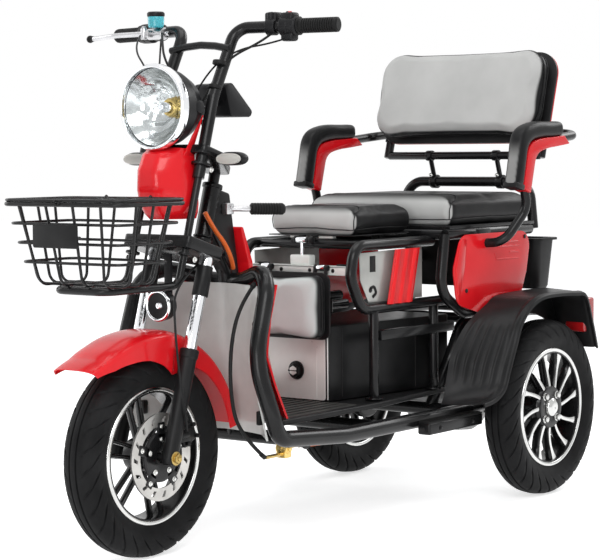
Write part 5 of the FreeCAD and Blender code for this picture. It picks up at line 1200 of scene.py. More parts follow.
# Floor: a moulded pan with a raised rim; a ribbed rubber mat lies in it.
pan_black = finish("pan_black", (0.009, 0.009, 0.0095), 0.42, mottle=0.25, grain=800, depth=0.00008,
                   shine=0.16)
mat_low = 266.5
floor_half = [(-373, 150), (-33, 190), (330, 190), (322, 154), (271, 115), (241, 0)]
outline = [Vector((x, y, 258)) for x, y in floor_half] + [Vector((x, -y, 258)) for x, y in floor_half[-2::-1]]
form = bmesh.new()
plate(form, outline, (0, 0, 10), 2.5, 18)
for side in (1, -1):
    tube(form, [(-366, side * 146, 266), (-33, side * 185, 266), (318, side * 185, 266)], 8, 40, 12)
fit(form, "floor_tray", pan_black, "frame", "mat_grey", "floor_pan")
mat_rubber = finish("mat_rubber", (0.03, 0.03, 0.028), 0.5, mottle=0.3, grain=500, depth=0.0001, shine=0.25)
form = bmesh.new()
mat_edge = [(20, -166), (300, -166), (300, -146), (262, -108), (234, 0), (262, 108), (300, 146), (300, 166),
            (20, 166)]
plate(form, [(x, y, mat_low) for x, y in mat_edge], (0, 0, 2.5), 0.8, 8)
for k in range(13):
    y = -144 + 24 * k
    reach = 232 if abs(y) < 60 else 232 + (abs(y) - 60) * 0.55
    block(form, 36, reach, y - 5, y + 5, mat_low + 2, 271.6, 1.4)
fit(form, "floor_mat", mat_rubber, "frame", "mat_grey")

# Leg shield: satin grey moulded plastic with a shallow keel, swept back to the frame tube at its edges; a red
# sheet of the same shape lines it inside.
# Painted highlight: the shield's grey is paler than the plastic's own dark grey, to stand for the frontal
# light on its face.
shield_grey = finish("shield_grey", (0.56, 0.57, 0.55), 0.33, mottle=0.1, grain=700, depth=0.00004, coat=0.25)
shield_rows = [(232, 272, 372, 186), (320, 274, 388, 176), (400, 278, 392, 158), (480, 284, 368, 152),
               (548, 293, 334, 150)]
lining_rows = [(270.6, 246, 330, 186), (340, 248, 346, 168), (400, 250, 352, 150), (480, 253, 332, 145),
               (548, 255, 303, 140)]
wing = 0.62
keel_rise = 30


def shield_skin(form, rows, back, wall):
    """A shield's sheet: keel in the middle, wings swept forward to its sides"""
    def spot(u, v):
        z, centre_x, side_x, half = row_at(rows, v / 32)
        across = u / 24 - 1
        reach = abs(across)
        if reach < wing:
            x = centre_x + keel_rise * (reach / wing) ** 1.5
        else:
            share = (reach - wing) / (1 - wing)
            x = centre_x + keel_rise + (side_x - centre_x - keel_rise) * share ** 1.12
        return Vector((x - back, across * half, z))

    skin(form, 48, 32, spot)
    walled(form, wall)


form = bmesh.new()
shield_skin(form, shield_rows, 0, 4)
fit(form, "leg_shield_sheet", shield_grey, "frame", "plastic_grey", "leg_shield", angle=40)
form = bmesh.new()
for side in (1, -1):
    rod(form, (351, side * 148, 470), (362, side * 151, 471), 15, 1)
    rod(form, (354, side * 149, 470), (364, side * 152, 471), 7, 1)
    block(form, 352, 368, side * 160 - 5, side * 160 + 5, 262, 292, 3)
fit(form, "shield_grommets", satin_black, "frame", "plastic_black")
form = bmesh.new()
shield_skin(form, lining_rows, 26, 4)
spine = [(230, 560), (234, 590), (258.7, 664), (250, 668), (218, 590), (216, 540)]
plate(form, [(x, -32, z) for x, z in spine], (0, 64, 0), 3, 8)
fit(form, "shield_lining", red_gloss, "frame", "plastic_red", "inner_shield", angle=40)

# Battery box: folded black sheet steel under the saddle, with a front plate that a hexagonal turn latch holds
# shut; the plate is painted pale grey, a painted highlight for the frontal light on it.
box_black = finish("box_black", (0.009, 0.009, 0.0095), 0.36, mottle=0.3, grain=600, depth=0.00005,
                   shine=0.16)
# Painted highlight: a pale grey that stands for the frontal light on black forward faces; on the zinc latch
# face and saddle strip it stands partly for their own pale metal.
painted_light_grey = finish("painted_light_grey", (0.74, 0.76, 0.73), 0.3, metal=0.1, mottle=0.06, grain=420, depth=0.00003,
                  stretch=(1, 1, 8))
form = bmesh.new()
box_rear, box_front, box_foot, box_height = -400, 27, 270.6, 167
plan = [(box_rear, 132), (box_front, 92), (box_front, -92), (box_rear, -132)]
plate(form, [(x, y, box_foot) for x, y in plan], (0, 0, box_height), 2, 12)
for side in (1, -1):
    for share in (0.3, 0.62, 0.9):
        x = box_rear + (box_front - box_rear) * share
        y = side * (132 - 40 * share)
        tube(form, [(x, y + side * 0.2, 278), (x, y + side * 0.2, 430)], 2.4, 0, 8)
fit(form, "battery_box", box_black, "frame", "box_grey", "seat_box")
form = bmesh.new()
face = rounded([(26.6, -82, 272), (26.6, 82, 272), (26.6, 82, 436), (26.6, -82, 436)], 7, 5, True)
plate(form, face, (1.6, 0, 0), 0.8)
for side in (1, -1):
    rod(form, (27.4, side * 88, 274), (27.4, side * 88, 436), 3, 0.5, 12)
tube(form, [(28, 58, 276), (28, 58, 434)], 1.6, 0, 8)
fit(form, "box_front", painted_light_grey, "frame", "box_grey")
form = bmesh.new()
knob = Vector((box_front, 2, 336))
rod(form, knob, knob + Vector((5, 0, 0)), 42, 1.5, 40)
rod(form, knob + Vector((4, 0, 0)), knob + Vector((15, 0, 0)), 36, 3, 6, 31)
block(form, 41, 43, -12, 12, 334, 338, 0.8)
fit(form, "latch_knob", satin_black, "frame", "plastic_black", "box_latch")
form = bmesh.new()
rod(form, knob + Vector((14, 0, 0)), knob + Vector((16, 0, 0)), 22, 0.8, 6)
fit(form, "latch_face", painted_light_grey, "frame", "zinc")
battery_shell = finish("battery_shell", (0.05, 0.05, 0.055), 0.5, mottle=0.2, grain=700, depth=0.0001)
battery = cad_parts["battery"].data
battery.materials.clear()
battery.materials.append(battery_shell)

# Hinge shelf: a folded steel angle across the frame, painted pale grey as painted frontal light; the pad's
# knuckles hang from it, and a chromed barrel on its post carries the saddle.
form = bmesh.new()
shelf_half, shelf_top = 138, 571.6
pin_x, pin_z = 2, 627
knuckle_x, knuckle_y, knuckle_z = 34, 78, 568
block(form, -7, 27, -shelf_half, shelf_half, 568, shelf_top, 1)
block(form, 23, 27, -shelf_half, shelf_half, 552, shelf_top, 1)
block(form, -12, 12, -27, 27, 571, 594, 3)
for side in (1, -1):
    block(form, 26, 33, side * knuckle_y - 7, side * knuckle_y + 7, 562, 571, 1)
# Painted highlight: the black steel angle takes the pale grey that stands for the frontal light.
fit(form, "shelf_angle", painted_light_grey, "frame", "frame_black", "hinge_shelf")
form = bmesh.new()
rod(form, (pin_x, 0, 592), (pin_x, 0, pin_z), 8, 0)
barrel_profile = [(-13, 4.3), (-13, 7), (13, 7), (13, 4.3)]
lathe(form, barrel_profile, 0.8, 2, (pin_x, 0, pin_z), 32)
for side in (1, -1):
    pin = [(-10, 2.3), (-10, 7), (10, 7), (10, 2.3)]
    lathe(form, pin, 0.8, 2, (knuckle_x, side * knuckle_y, knuckle_z), 28)
fit(form, "hinge_barrels", chrome, "frame", "chrome")
form = bmesh.new()
for y in (-104, -40, 40, 104):
    rod(form, (26.5, y, 562), (28.4, y, 562), 9, 0.8, 20)
for side in (1, -1):
    block(form, -6, 6, side * 112 - 14, side * 112 + 14, 571.4, 575, 1)
fit(form, "shelf_rivets", satin_black, "frame", "frame_black")

# Upholstery: foam pads in black coated cloth, sewn together with piping; each is a blown-up closed cover.
# Their forward faces are painted pale, a painted highlight for the frontal light, which fades to black on the
# sides and tops.
def cover(name, pale, dark):
    """Grained black coated cloth, painted pale where each point carries painted frontal light"""
    cloth = finish(name, dark, 0.38, mottle=0.25, grain=520, depth=0.0002, pattern="leather", shine=0.13)
    tree = cloth.node_tree
    shader = tree.nodes["Principled BSDF"]
    # Painted highlight: the pale tone is mixed in by each point's amount of painted frontal light.
    painted_front_light = tree.nodes.new("ShaderNodeAttribute")
    painted_front_light.attribute_name = "painted_front_light"
    tones = [c * 0.9 for c in pale], [min(1, c * 1.06) for c in pale]
    painted_light_tone = two_tone(tree, noise(tree, 9, 8), tones, (0.3, 0.72))
    both = tree.nodes.new("ShaderNodeMix")
    both.data_type = "RGBA"
    base = shader.inputs["Base Color"].links[0].from_socket
    tree.links.new(painted_front_light.outputs["Fac"], both.inputs["Factor"])
    tree.links.new(base, both.inputs[6])
    tree.links.new(painted_light_tone, both.inputs[7])
    tree.links.new(both.outputs[2], shader.inputs["Base Color"])
    return cloth


def lean(form, matrix):
    """Turns a form drawn in millimetres by a matrix in metres"""
    bmesh.ops.scale(form, vec=(MM, MM, MM), verts=form.verts)
    bmesh.ops.transform(form, matrix=matrix, verts=form.verts)
    bmesh.ops.scale(form, vec=(1 / MM, 1 / MM, 1 / MM), verts=form.verts)


def smooth(low, high, value):
    """A soft step from 0 at low to 1 at high"""
    share = max(0.0, min(1.0, (value - low) / (high - low)))
    return share * share * (3 - 2 * share)


seam_deep = 2.2
seam_wide = 13
evening = 9
piping_across = 2.2
blow_frames = 20


def cushion(name, form, limits, voxel, cap, front_light_at, seams, paint, tilt=None, crown=None):
    """A stuffed cover: a closed form blown up as cloth, kept inside its limits
    and drawn in along its seams. Gives the piece and its piping's form."""
    bmesh.ops.remove_doubles(form, verts=form.verts, dist=MERGE)
    bmesh.ops.recalc_face_normals(form, faces=form.faces)
    bmesh.ops.scale(form, vec=(MM, MM, MM), verts=form.verts)
    data = bpy.data.meshes.new(name)
    form.to_mesh(data)
    form.free()
    piece = bpy.data.objects.new(name, data)
    bpy.context.scene.collection.objects.link(piece)
    coarse = piece.modifiers.new("even", "REMESH")
    coarse.mode = "VOXEL"
    coarse.voxel_size = voxel * MM
    evened = bpy.data.meshes.new_from_object(piece.evaluated_get(bpy.context.evaluated_depsgraph_get()))
    piece.modifiers.clear()
    piece.data = evened
    bpy.data.meshes.remove(data)
    start = [v.co.copy() for v in evened.vertices]
    cloth = piece.modifiers.new("stuffing", "CLOTH")
    cloth.settings.quality = 5
    cloth.settings.use_pressure = True
    cloth.settings.uniform_pressure_force = 4
    cloth.settings.effector_weights.gravity = 0
    cloth.settings.tension_stiffness = 12
    cloth.settings.compression_stiffness = 12
    cloth.settings.bending_stiffness = 2
    cloth.point_cache.frame_start = 1
    cloth.point_cache.frame_end = blow_frames
    for moment in range(1, blow_frames + 1):
        bpy.context.scene.frame_set(moment)
    blown = piece.evaluated_get(bpy.context.evaluated_depsgraph_get()).data
    after = [v.co.copy() for v in blown.vertices]
    piece.modifiers.clear()
    bpy.context.scene.frame_set(1)
    for vert, a, b in zip(evened.vertices, start, after):
        step = b - a
        if step.length > cap * MM:
            step = step.normalized() * cap * MM
        vert.co = a + step
    form = bmesh.new()
    form.from_mesh(evened)
    for _ in range(evening):
        bmesh.ops.smooth_vert(form, verts=form.verts, factor=0.5, use_axis_x=True, use_axis_y=True,
                              use_axis_z=True)
    (x0, y0, z0), (x1, y1, z1) = limits
    for vert in form.verts:
        x, y, z = vert.co / MM
        if crown:
            z -= crown(x, y, z)
        vert.co = Vector((min(max(x, x0), x1), min(max(y, y0), y1), min(max(z, z0), z1))) * MM
    form.to_mesh(evened)
    form.free()
    lines = []
    for points, radius, closed in seams:
        corners = rounded(points, radius, 10, closed)
        if closed:
            corners.append(corners[0])
        fine = []
        for a, b in zip(corners, corners[1:]):
            count = max(1, int((b - a).length / 3))
            fine += [a.lerp(b, k / count) for k in range(count)]
        fine.append(corners[-1])
        landed = []
        for point in fine:
            landed.append(piece.closest_point_on_mesh(point * MM)[1])
        for _ in range(8):
            landed[1:-1] = [(a + b + c) / 3 for a, b, c in zip(landed, landed[1:], landed[2:])]
        lines.append((landed, closed))
    if lines:
        tree = kdtree.KDTree(sum(len(line) for line, _ in lines))
        for i, spot in enumerate([p for line, _ in lines for p in line]):
            tree.insert(spot, i)
        tree.balance()
        moved = []
        for vert in evened.vertices:
            _, _, away = tree.find(vert.co)
            if away < seam_wide * MM:
                near = (1 - away / (seam_wide * MM)) ** 1.6
                moved.append((vert.index, vert.co - vert.normal * seam_deep * MM * near))
        for index, spot in moved:
            evened.vertices[index].co = spot
    finer = piece.modifiers.new("finer", "SUBSURF")
    finer.levels = finer.render_levels = 1
    fine_mesh = bpy.data.meshes.new_from_object(piece.evaluated_get(bpy.context.evaluated_depsgraph_get()))
    piece.modifiers.clear()
    piece.data = fine_mesh
    bpy.data.meshes.remove(evened)
    # Painted light: each point is given an amount of painted frontal light from the function passed in, and
    # the cloth is painted pale there.
    tone = fine_mesh.attributes.new("painted_front_light", "FLOAT", "POINT")
    for vert in fine_mesh.vertices:
        tone.data[vert.index].value = front_light_at(vert.co / MM, vert.normal)
    if tilt is not None:
        fine_mesh.transform(tilt)
    fine_mesh.materials.clear()
    fine_mesh.materials.append(paint)
    fine_mesh.shade_smooth()
    fine_mesh.name = name
    if not lines:
        return piece, None
    piping = bmesh.new()
    for line, closed in lines:
        run = [p / MM for p in (line[:-1:2] if closed else line[::2])]
        tube(piping, run, piping_across, 0, 8, closed)
    if tilt is None:
        tilt = Matrix.Identity(4)
    lean(piping, tilt)
    return piece, piping


leather_dark = finish("piping_black", (0.01, 0.01, 0.0105), 0.4, mottle=0.2, grain=900, depth=0.00005,
                      shine=0.13)
# Painted highlight: the pale grey is the painted frontal light on the black cloth.
seat_cover = cover("seat_cover", (0.48, 0.48, 0.47), (0.006, 0.006, 0.0065))

# Driver's saddle: a thick foam pad of black cloth, sewn with seams along its edge and front, its forward
# faces painted pale as painted frontal light, on a pressed steel base that tips up on a pin through the
# shelf's barrel.
form = bmesh.new()
block(form, -269, -26, -123, 123, 639, 698, 20, 5)
front_seam = [(-34, 122, 642), (-32, 122, 672), (-44, 118, 692), (-84, 108, 702)]
front_seam += [(x, -y, z) for x, y, z in front_seam[::-1]]
edge_seam = [(-264, -124, 646), (-30, -124, 646), (-24, 0, 646), (-30, 124, 646), (-264, 124, 646),
             (-270, 0, 646)]
# Painted highlight: points that face forward, below the crown and inside the sides, are painted pale.
piece, piping = cushion(
    "saddle_cover", form, ((-272, -127, 638), (-22, 127, 702)), 5, 9,
    lambda p, n: smooth(0.3, 0.55, n.x) * smooth(704, 684, p.z) * smooth(125, 119, abs(p.y)),
    [(edge_seam, 30, True), (front_seam, 22, False)],
    seat_cover, crown=lambda x, y, z: 5 * smooth(670, 702, z) * (abs(y) / 127) ** 2)
settle(piece, "driver_saddle", "leather_black", "saddle")
fit(piping, "saddle_piping", leather_dark, "driver_saddle", "leather_black")
form = bmesh.new()
block(form, -264, -28, -119, 119, 635.2, 638, 1)
for side in (1, -1):
    y = side * 17.5 - 4
    fork = [(-42, y, 632), (-42, y, 636), (4, y, 636), (4, y, pin_z), (-4, y, 626)]
    plate(form, fork, (0, 8, 0), 0.8, 0)
    rod(form, (pin_x, y, pin_z), (pin_x, y + 8, pin_z), 14, 0.8)
fit(form, "saddle_pan", frame_black, "driver_saddle", "frame_black", "saddle_base")
form = bmesh.new()
for y0, y1, across, edge, sides in ((-24, 24, 7.6, 0.8, 24), (22, 31, 17, 2.5, 28), (-28, -22, 12, 1, 6)):
    rod(form, (pin_x, y0, pin_z), (pin_x, y1, pin_z), across, edge, sides)
fit(form, "saddle_pin", satin_black, "driver_saddle", "zinc")
form = bmesh.new()
block(form, -46, -32, -60, 60, 630, 635.4, 1)
fit(form, "saddle_strip", painted_light_grey, "driver_saddle", "zinc")

# Front pad: a foam knee pad glued to a moulded board that hangs from the
# shelf's knuckles, and rests on the box with two rubber feet.
def from_edge(p, half_y, low, high, corner):
    """How far a point lies inside a rounded outline in the YZ plane"""
    across = abs(p.y) - (half_y - corner)
    up = abs(p.z - (low + high) / 2) - ((high - low) / 2 - corner)
    return corner - math.hypot(max(across, 0), max(up, 0)) - min(max(across, up), 0)


form = bmesh.new()
block(form, 48, 88, -108, 108, 410, 557, 17, 5)
# Painted highlight: the pad's forward face, inside a band at its edge, is painted pale for the frontal light
# on black cloth.
piece, piping = cushion(
    "pad_cover", form, ((45, -113, 405), (95, 113, 562)), 5, 8,
    lambda p, n: smooth(5, 17, from_edge(p, 113, 405, 562, 34)) * smooth(78, 86, p.x),
    [([(70, -112, 406), (70, 112, 406), (70, 112, 561), (70, -112, 561)], 34, True),
     ([(50, -112, 408), (50, 112, 408), (50, 112, 560), (50, -112, 560)], 30, True)],
    cover("pad_cloth", (0.6, 0.66, 0.65), (0.006, 0.006, 0.0065)))
settle(piece, "front_pad", "leather_black", "front_pad")
fit(piping, "pad_piping", leather_dark, "front_pad", "leather_black")
form = bmesh.new()
board = rounded([(40, -107, 409), (40, 107, 409), (40, 107, 558), (40, -107, 558)], 22, 5, True)
plate(form, board, (5, 0, 0), 1)
for side in (1, -1):
    for k in (-15, 15):
        y = side * knuckle_y + k
        block(form, 36, 41, y - 4, y + 4, 520, 566, 1)
        rod(form, (knuckle_x, y - 4, knuckle_z), (knuckle_x, y + 4, knuckle_z), 13, 1)
    y = side * knuckle_y
    rod(form, (knuckle_x, y - 19, knuckle_z), (knuckle_x, y + 19, knuckle_z), 4, 0.4, 16)
fit(form, "pad_back_board", satin_black, "front_pad", "plastic_black", "pad_board")
form = bmesh.new()
for side in (1, -1):
    foot = [(0, POLE), (0, 6), (12, 6), (16.5, 4.6), (16.5, POLE)]
    lathe(form, foot, 1.2, 3, (44, side * 50, 419), 24, (1, 0, 0), looped=False, side=-1)
fit(form, "pad_rubber_feet", rubber, "front_pad", "rubber_black")

# Bench: one wide pad of black cloth on a steel plate; its front wraps round to a curved seam at each end, and
# a strip of piping follows its foot. Its forward faces are painted pale, a painted highlight for the frontal
# light.
form = bmesh.new()
block(form, -665, -284, -212, 212, 653, 717, 20, 5)
side_seam = [(-290, 211, 654), (-289, 211, 688), (-304, 207, 712), (-352, 196, 722)]
side_seam += [(x, -y, z) for x, y, z in side_seam[::-1]]
edge_seam = [(-660, -212, 660), (-286, -212, 660), (-280, 0, 660), (-286, 212, 660), (-660, 212, 660),
             (-667, 0, 660)]
# Painted highlight: points that face forward, below the top and inside the ends, are painted pale.
piece, piping = cushion(
    "bench_cover", form, ((-668, -215, 652), (-279, 215, 722)), 6, 10,
    lambda p, n: smooth(0.3, 0.55, n.x) * smooth(724, 704, p.z) * smooth(213, 207, abs(p.y)),
    [(edge_seam, 30, True), (side_seam, 22, False)],
    seat_cover, crown=lambda x, y, z: 6 * smooth(685, 722, z) * (abs(y) / 215) ** 2)
settle(piece, "frame", "leather_black", "bench")
fit(piping, "bench_piping", leather_dark, "frame", "leather_black")

# Backrest: a deep pad of black cloth, its face painted pale as painted frontal light, piped twice, on a
# glossy red shell that two steel posts hold.
post_x, post_y = -23, 226
low_bar_x, low_bar_z, low_clamp_y = -688, 745, 98
back_turn = Matrix.Translation((-0.65, 0, 0.84)) @ Matrix.Rotation(math.radians(-17), 4, "Y")
form = bmesh.new()
back_outline = rounded([(3, -246, 4), (3, 246, 4), (3, 246, 232), (3, -246, 232)], 62, 12, True)
plate(form, back_outline, (53, 0, 0), 15)
# Painted highlight: the pad's face, inside a band at its edge, is painted pale for the frontal light.
piece, piping = cushion(
    "backrest_cover", form, ((0, -250, 0), (62, 250, 236)), 6, 11,
    lambda p, n: smooth(6, 12, from_edge(p, 250, 0, 236, 62)) * smooth(44, 50, p.x),
    [([(40, -250, 0), (40, 250, 0), (40, 250, 236), (40, -250, 236)], 64, True),
     ([(18, -250, 0), (18, 250, 0), (18, 250, 236), (18, -250, 236)], 64, True)],
    seat_cover, tilt=back_turn)
settle(piece, "frame", "leather_grey", "backrest")
fit(piping, "backrest_piping", leather_dark, "frame", "leather_black")
form = bmesh.new()
shell_outline = rounded([(-12, -248, 2), (-12, 248, 2), (-12, 248, 234), (-12, -248, 234)], 60, 10, True)
plate(form, shell_outline, (5, 0, 0), 4)
lean(form, back_turn)
fit(form, "back_shell", red_gloss, "frame", "plastic_red", "backrest_shell")
form = bmesh.new()
plate(form, [p + Vector((5, 0, 0)) for p in shell_outline], (7.4, 0, 0), 1.5)
lean(form, back_turn)
fit(form, "back_shell_rim", satin_black, "frame", "plastic_black")
form = bmesh.new()
for side in (1, -1):
    rod(form, (post_x, side * post_y, -30), (post_x, side * post_y, 176), 22, 2)
    for z in (20, 150):
        block(form, -24, -11, side * post_y - 10, side * post_y + 10, z - 10, z + 10, 2)
rod(form, (post_x, -222, -24), (post_x, 222, -24), 20, 1)
lean(form, back_turn)
tube(form, [(-680, 195, rail_z), (low_bar_x, 179, low_bar_z), (low_bar_x, -179, low_bar_z),
            (-680, -195, rail_z)], 25, 50, 20)
for side in (1, -1):
    y = side * low_clamp_y
    rod(form, (low_bar_x, y - 9, low_bar_z), (low_bar_x, y + 9, low_bar_z), 35, 2)
    foot = back_turn @ (Vector((post_x, y, -24)) * MM) / MM
    rod(form, (low_bar_x, y, low_bar_z), foot, 12, 0)
    rod(form, foot - Vector((0, 9, 0)), foot + Vector((0, 9, 0)), 27, 2)
fit(form, "back_tubes", frame_black, "frame", "frame_black", "back_frame")
form = bmesh.new()
for side in (1, -1):
    y = side * low_clamp_y
    for end in (1, -1):
        bolt(form, (low_bar_x, y + end * 9, low_bar_z), (0, end, 0), 11, 3)
    rod(form, (-672, y, 758), (-664, y, 764), 8, 1, 6)
fit(form, "back_clamp_bolts", bright_bolt, "frame", "zinc")

# Arms: black pads along bent steel tubes, each lying in a glossy red shell
# that shows below it; the tubes bolt to bosses at the bench's ends.
pad_line = [(-385, 742), (-402, 800), (-416, 872), (-490, 893), (-556, 890), (-610, 894)]
mid_line = [(-424, 734), (-438, 786), (-450, 840), (-512, 852), (-560, 854), (-614, 858)]
low_line = [(-458, 724), (-472, 774), (-484, 816), (-536, 828), (-586, 832), (-640, 838)]
arm_y = 305
for side, word, pads, shells in ((1, "left", ["arm_pads"], ["arm_shells"]), (-1, "right", [], [])):
    y = side * arm_y
    form = bmesh.new()
    outer = smooth_run([(x, y - 19, z) for x, z in pad_line])
    inner = smooth_run([(x, y - 19, z) for x, z in mid_line])
    plate(form, outer + inner[::-1], (0, 38, 0), 9)
    # Painted highlight: the lower part of each arm pad's forward face is painted half pale for the frontal
    # light.
    piece, _ = cushion(
        "arm_cover_" + word, form, ((-616, y - 23, 730), (-384, y + 23, 896)), 4, 5,
        lambda p, n: 0.55 * smooth(0.75, 0.97, n.x) * smooth(850, 800, p.z), [], seat_cover)
    settle(piece, "frame", "leather_black", *pads)
    form = bmesh.new()
    outer = smooth_run([(x, y - 17, z) for x, z in mid_line])
    inner = smooth_run([(x, y - 17, z) for x, z in low_line])
    plate(form, outer + inner[::-1], (0, 34, 0), 3)
    fit(form, "arm_shell_" + word, red_gloss, "frame", "plastic_red", *shells)
    form = bmesh.new()
    cap = [(x, y - 20, z) for x, z in ((-387, 738), (-391, 752), (-428, 744), (-424, 730))]
    plate(form, cap, (0, 40, 0), 4)
    fit(form, "arm_end_cap_" + word, satin_black, "frame", "plastic_black")
form = bmesh.new()
for side in (1, -1):
    tube(form, [(-419, side * rail_y, 606), (-421, side * 271, 610), (-468, side * arm_y, 690),
                (-448, side * arm_y, 752)], 22, 50, 20)
    tube(form, [(-600, side * arm_y, 850), (-706, side * arm_y, 860), (-684, side * 226, 866)], 22, 30, 20)
    rod(form, (-419, side * rail_y, 586), (-419, side * rail_y, 624), 40, 2, 32)
    block(form, -450, -388, side * rail_y - 14, side * rail_y + 14, 600, 640, 3)
fit(form, "arm_tubes", frame_black, "frame", "frame_black")
form = bmesh.new()
for side in (1, -1):
    for x in (-436, -402):
        bolt(form, (x, side * 217, 612), (0, side, 0), 10, 3)
    bolt(form, (-560, side * arm_y, 836), (0, 0, -1), 8, 2)
fit(form, "arm_bolts", satin_black, "frame", "zinc")

# Side panels: glossy red mouldings under the bench, faceted at the front and
# pressed with a few shallow lines; screwed to the seat frame.
panel_y = 220
panel_edge = [(-309, 630), (-622, 630), (-600, 533), (-560, 446), (-400, 442), (-290, 470), (-276, 552)]
form = bmesh.new()
for side in (1, -1):
    plate(form, [(x, side * panel_y, z) for x, z in panel_edge], (0, side * 4, 0), 1.2, 40)
    facet = [(-306, 622), (-330, 622), (-322, 556), (-296, 470), (-284, 552)]
    plate(form, [(x, side * (panel_y + 3.6), z) for x, z in facet], (0, side * 2.4, 0), 2.2, 5)
    for z, x0, x1 in ((606, -560, -440), (596, -566, -470), (582, -560, -520), (566, -562, -460)):
        tube(form, [(x0, side * (panel_y + 4), z), (x1, side * (panel_y + 4), z)], 3, 0, 8)
    tube(form, [(-460, side * (panel_y + 4), 566), (-454, side * (panel_y + 4), 582)], 2.2, 0, 8)
fit(form, "side_mouldings", red_gloss, "frame", "plastic_red", "side_panels", angle=30)
form = bmesh.new()
for side in (1, -1):
    for x, z in ((-590, 616), (-330, 500), (-540, 462)):
        rod(form, (x, side * (panel_y + 3), z), (x, side * (panel_y + 6), z), 10, 1, 20)
fit(form, "panel_screws", satin_black, "frame", "zinc")

# Side plates: laser-cut grey sheet between the seat loops, with a slot, a
# hook hole and folded edges.
plate_grey = finish("plate_grey", (0.42, 0.42, 0.4), 0.34, metal=0.4, mottle=0.12, grain=300, depth=0.00003,
                    stretch=(6, 1, 1))
plate_edge = [(-12, 600), (-258, 604), (-258, 488), (-46, 488), (-14, 540)]
form = bmesh.new()
holes = bmesh.new()
for side in (1, -1):
    plate(form, [(x, side * 147, z) for x, z in plate_edge], (0, side * 2, 0), 0.4)
    block(holes, -72, -50, *sorted((side * 148, side * 149.6)), 556, 592, 0.5)
    tube(holes, [(-52, side * 149, 520), (-66, side * 149, 524), (-74, side * 149, 508),
                 (-60, side * 149, 500)], 7, 6, 12)
    rod(holes, (-52, side * 148, 516), (-52, side * 150, 516), 12, 0.4)
fit(form, "hanger_plates", plate_grey, "frame", "zinc", "side_plates")
fit(holes, "hanger_slots", satin_black, "frame", "frame_black")

# Folded sheets: red enamelled steel at each side of the saddle's loops,
# pressed into three long ridges and welded to the loops.
form = bmesh.new()
for side in (1, -1):
    def sheet_spot(u, v):
        share = u / 36
        x = -128 - 98 * share + 32 * v / 8
        z = 604 - 122 * v / 8
        ridge = max(0.0, math.sin(3 * math.pi * share * 2 - math.pi / 2)) ** 0.6
        return Vector((x, side * (165 + 5 * ridge), z))

    skin(form, 36, 8, sheet_spot)
walled(form, 1.6)
red_enamel = finish("red_enamel", (0.76, 0.008, 0.012), 0.25, mottle=0.06, grain=380, depth=0.00003,
                    coat=0.15, shine=0.26)
fit(form, "ridged_sheets", red_enamel, "frame", "steel_red", "folded_sheets", angle=30)

# Rear bin: an open tub moulded in black plastic, its rim turned out to a flat
# flange, hung on two hooks behind the seat frame.
form = bmesh.new()
bin_levels = [(480, 12, 0), (486, 9, 0), (600, 0, 0), (600, 0, 8), (606, 0, 8), (606, 0, -3), (600, 0, -3),
              (492, 9, -3), (485, 14, -3)]


def bin_ring(z, taper, grow):
    """The tub's outline at a height, drawn in by its taper and pushed out by a wall"""
    x0, x1, y0, y1 = -782 + taper - grow, -690 - taper + grow, -200 + taper - grow, 200 - taper + grow
    return rounded([(x0, y0, z), (x1, y0, z), (x1, y1, z), (x0, y1, z)], 22, 6, True)


rings = []
for level in bin_levels:
    verts = [form.verts.new(p) for p in bin_ring(*level)]
    edges = [form.edges.new((verts[i], verts[(i + 1) % len(verts)])) for i in range(len(verts))]
    rings.append(edges)
for a, b in zip(rings, rings[1:]):
    bmesh.ops.bridge_loops(form, edges=a + b)
bmesh.ops.holes_fill(form, edges=rings[0])
bmesh.ops.holes_fill(form, edges=rings[-1])
for side in (1, -1):
    block(form, -696, -662, side * 150 - 10, side * 150 + 10, 540, 570, 2)
for y in (-120, -40, 40, 120):
    block(form, -786, -780, y - 2, y + 2, 496, 600, 1)
bin_black = finish("bin_black", (0.012, 0.012, 0.0125), 0.38, mottle=0.25, grain=1100, depth=0.0001,
                   shine=0.13)
fit(form, "bin_tub", bin_black, "frame", "plastic_black", "rear_bin", angle=30)

# Rear mudguards: broad satin black mouldings with a double rolled lip; ribs
# stiffen the ramp in front of the wheel, and each is screwed to its spacers.
fender_rows = [(-218, 258, -204, 250), (-262, 264, -216, 272), (-301, 284, -228, 312), (-322, 324, -245, 360),
               (-350, 378, -285, 405), (-376, 426, -330, 436), (-424, 466, -395, 464), (-493, 485, -450, 484),
               (-634, 483, -634, 488), (-686, 472, -686, 478), (-716, 410, -716, 412), (-742, 341, -742, 341)]


def along_rows(rows, share):
    """The row at a share of the way along a table, on a smooth curve"""
    k = share * (len(rows) - 1)
    i = min(int(k), len(rows) - 2)
    t = k - i
    a, b = rows[i], rows[i + 1]
    before = rows[max(0, i - 1)]
    after = rows[min(len(rows) - 1, i + 2)]
    mixed = []
    for p, q, r, s in zip(before, a, b, after):
        mixed.append(q + 0.5 * t * (r - p + t * (2 * p - 5 * q + 4 * r - s + t * (3 * (q - r) + s - p))))
    return mixed


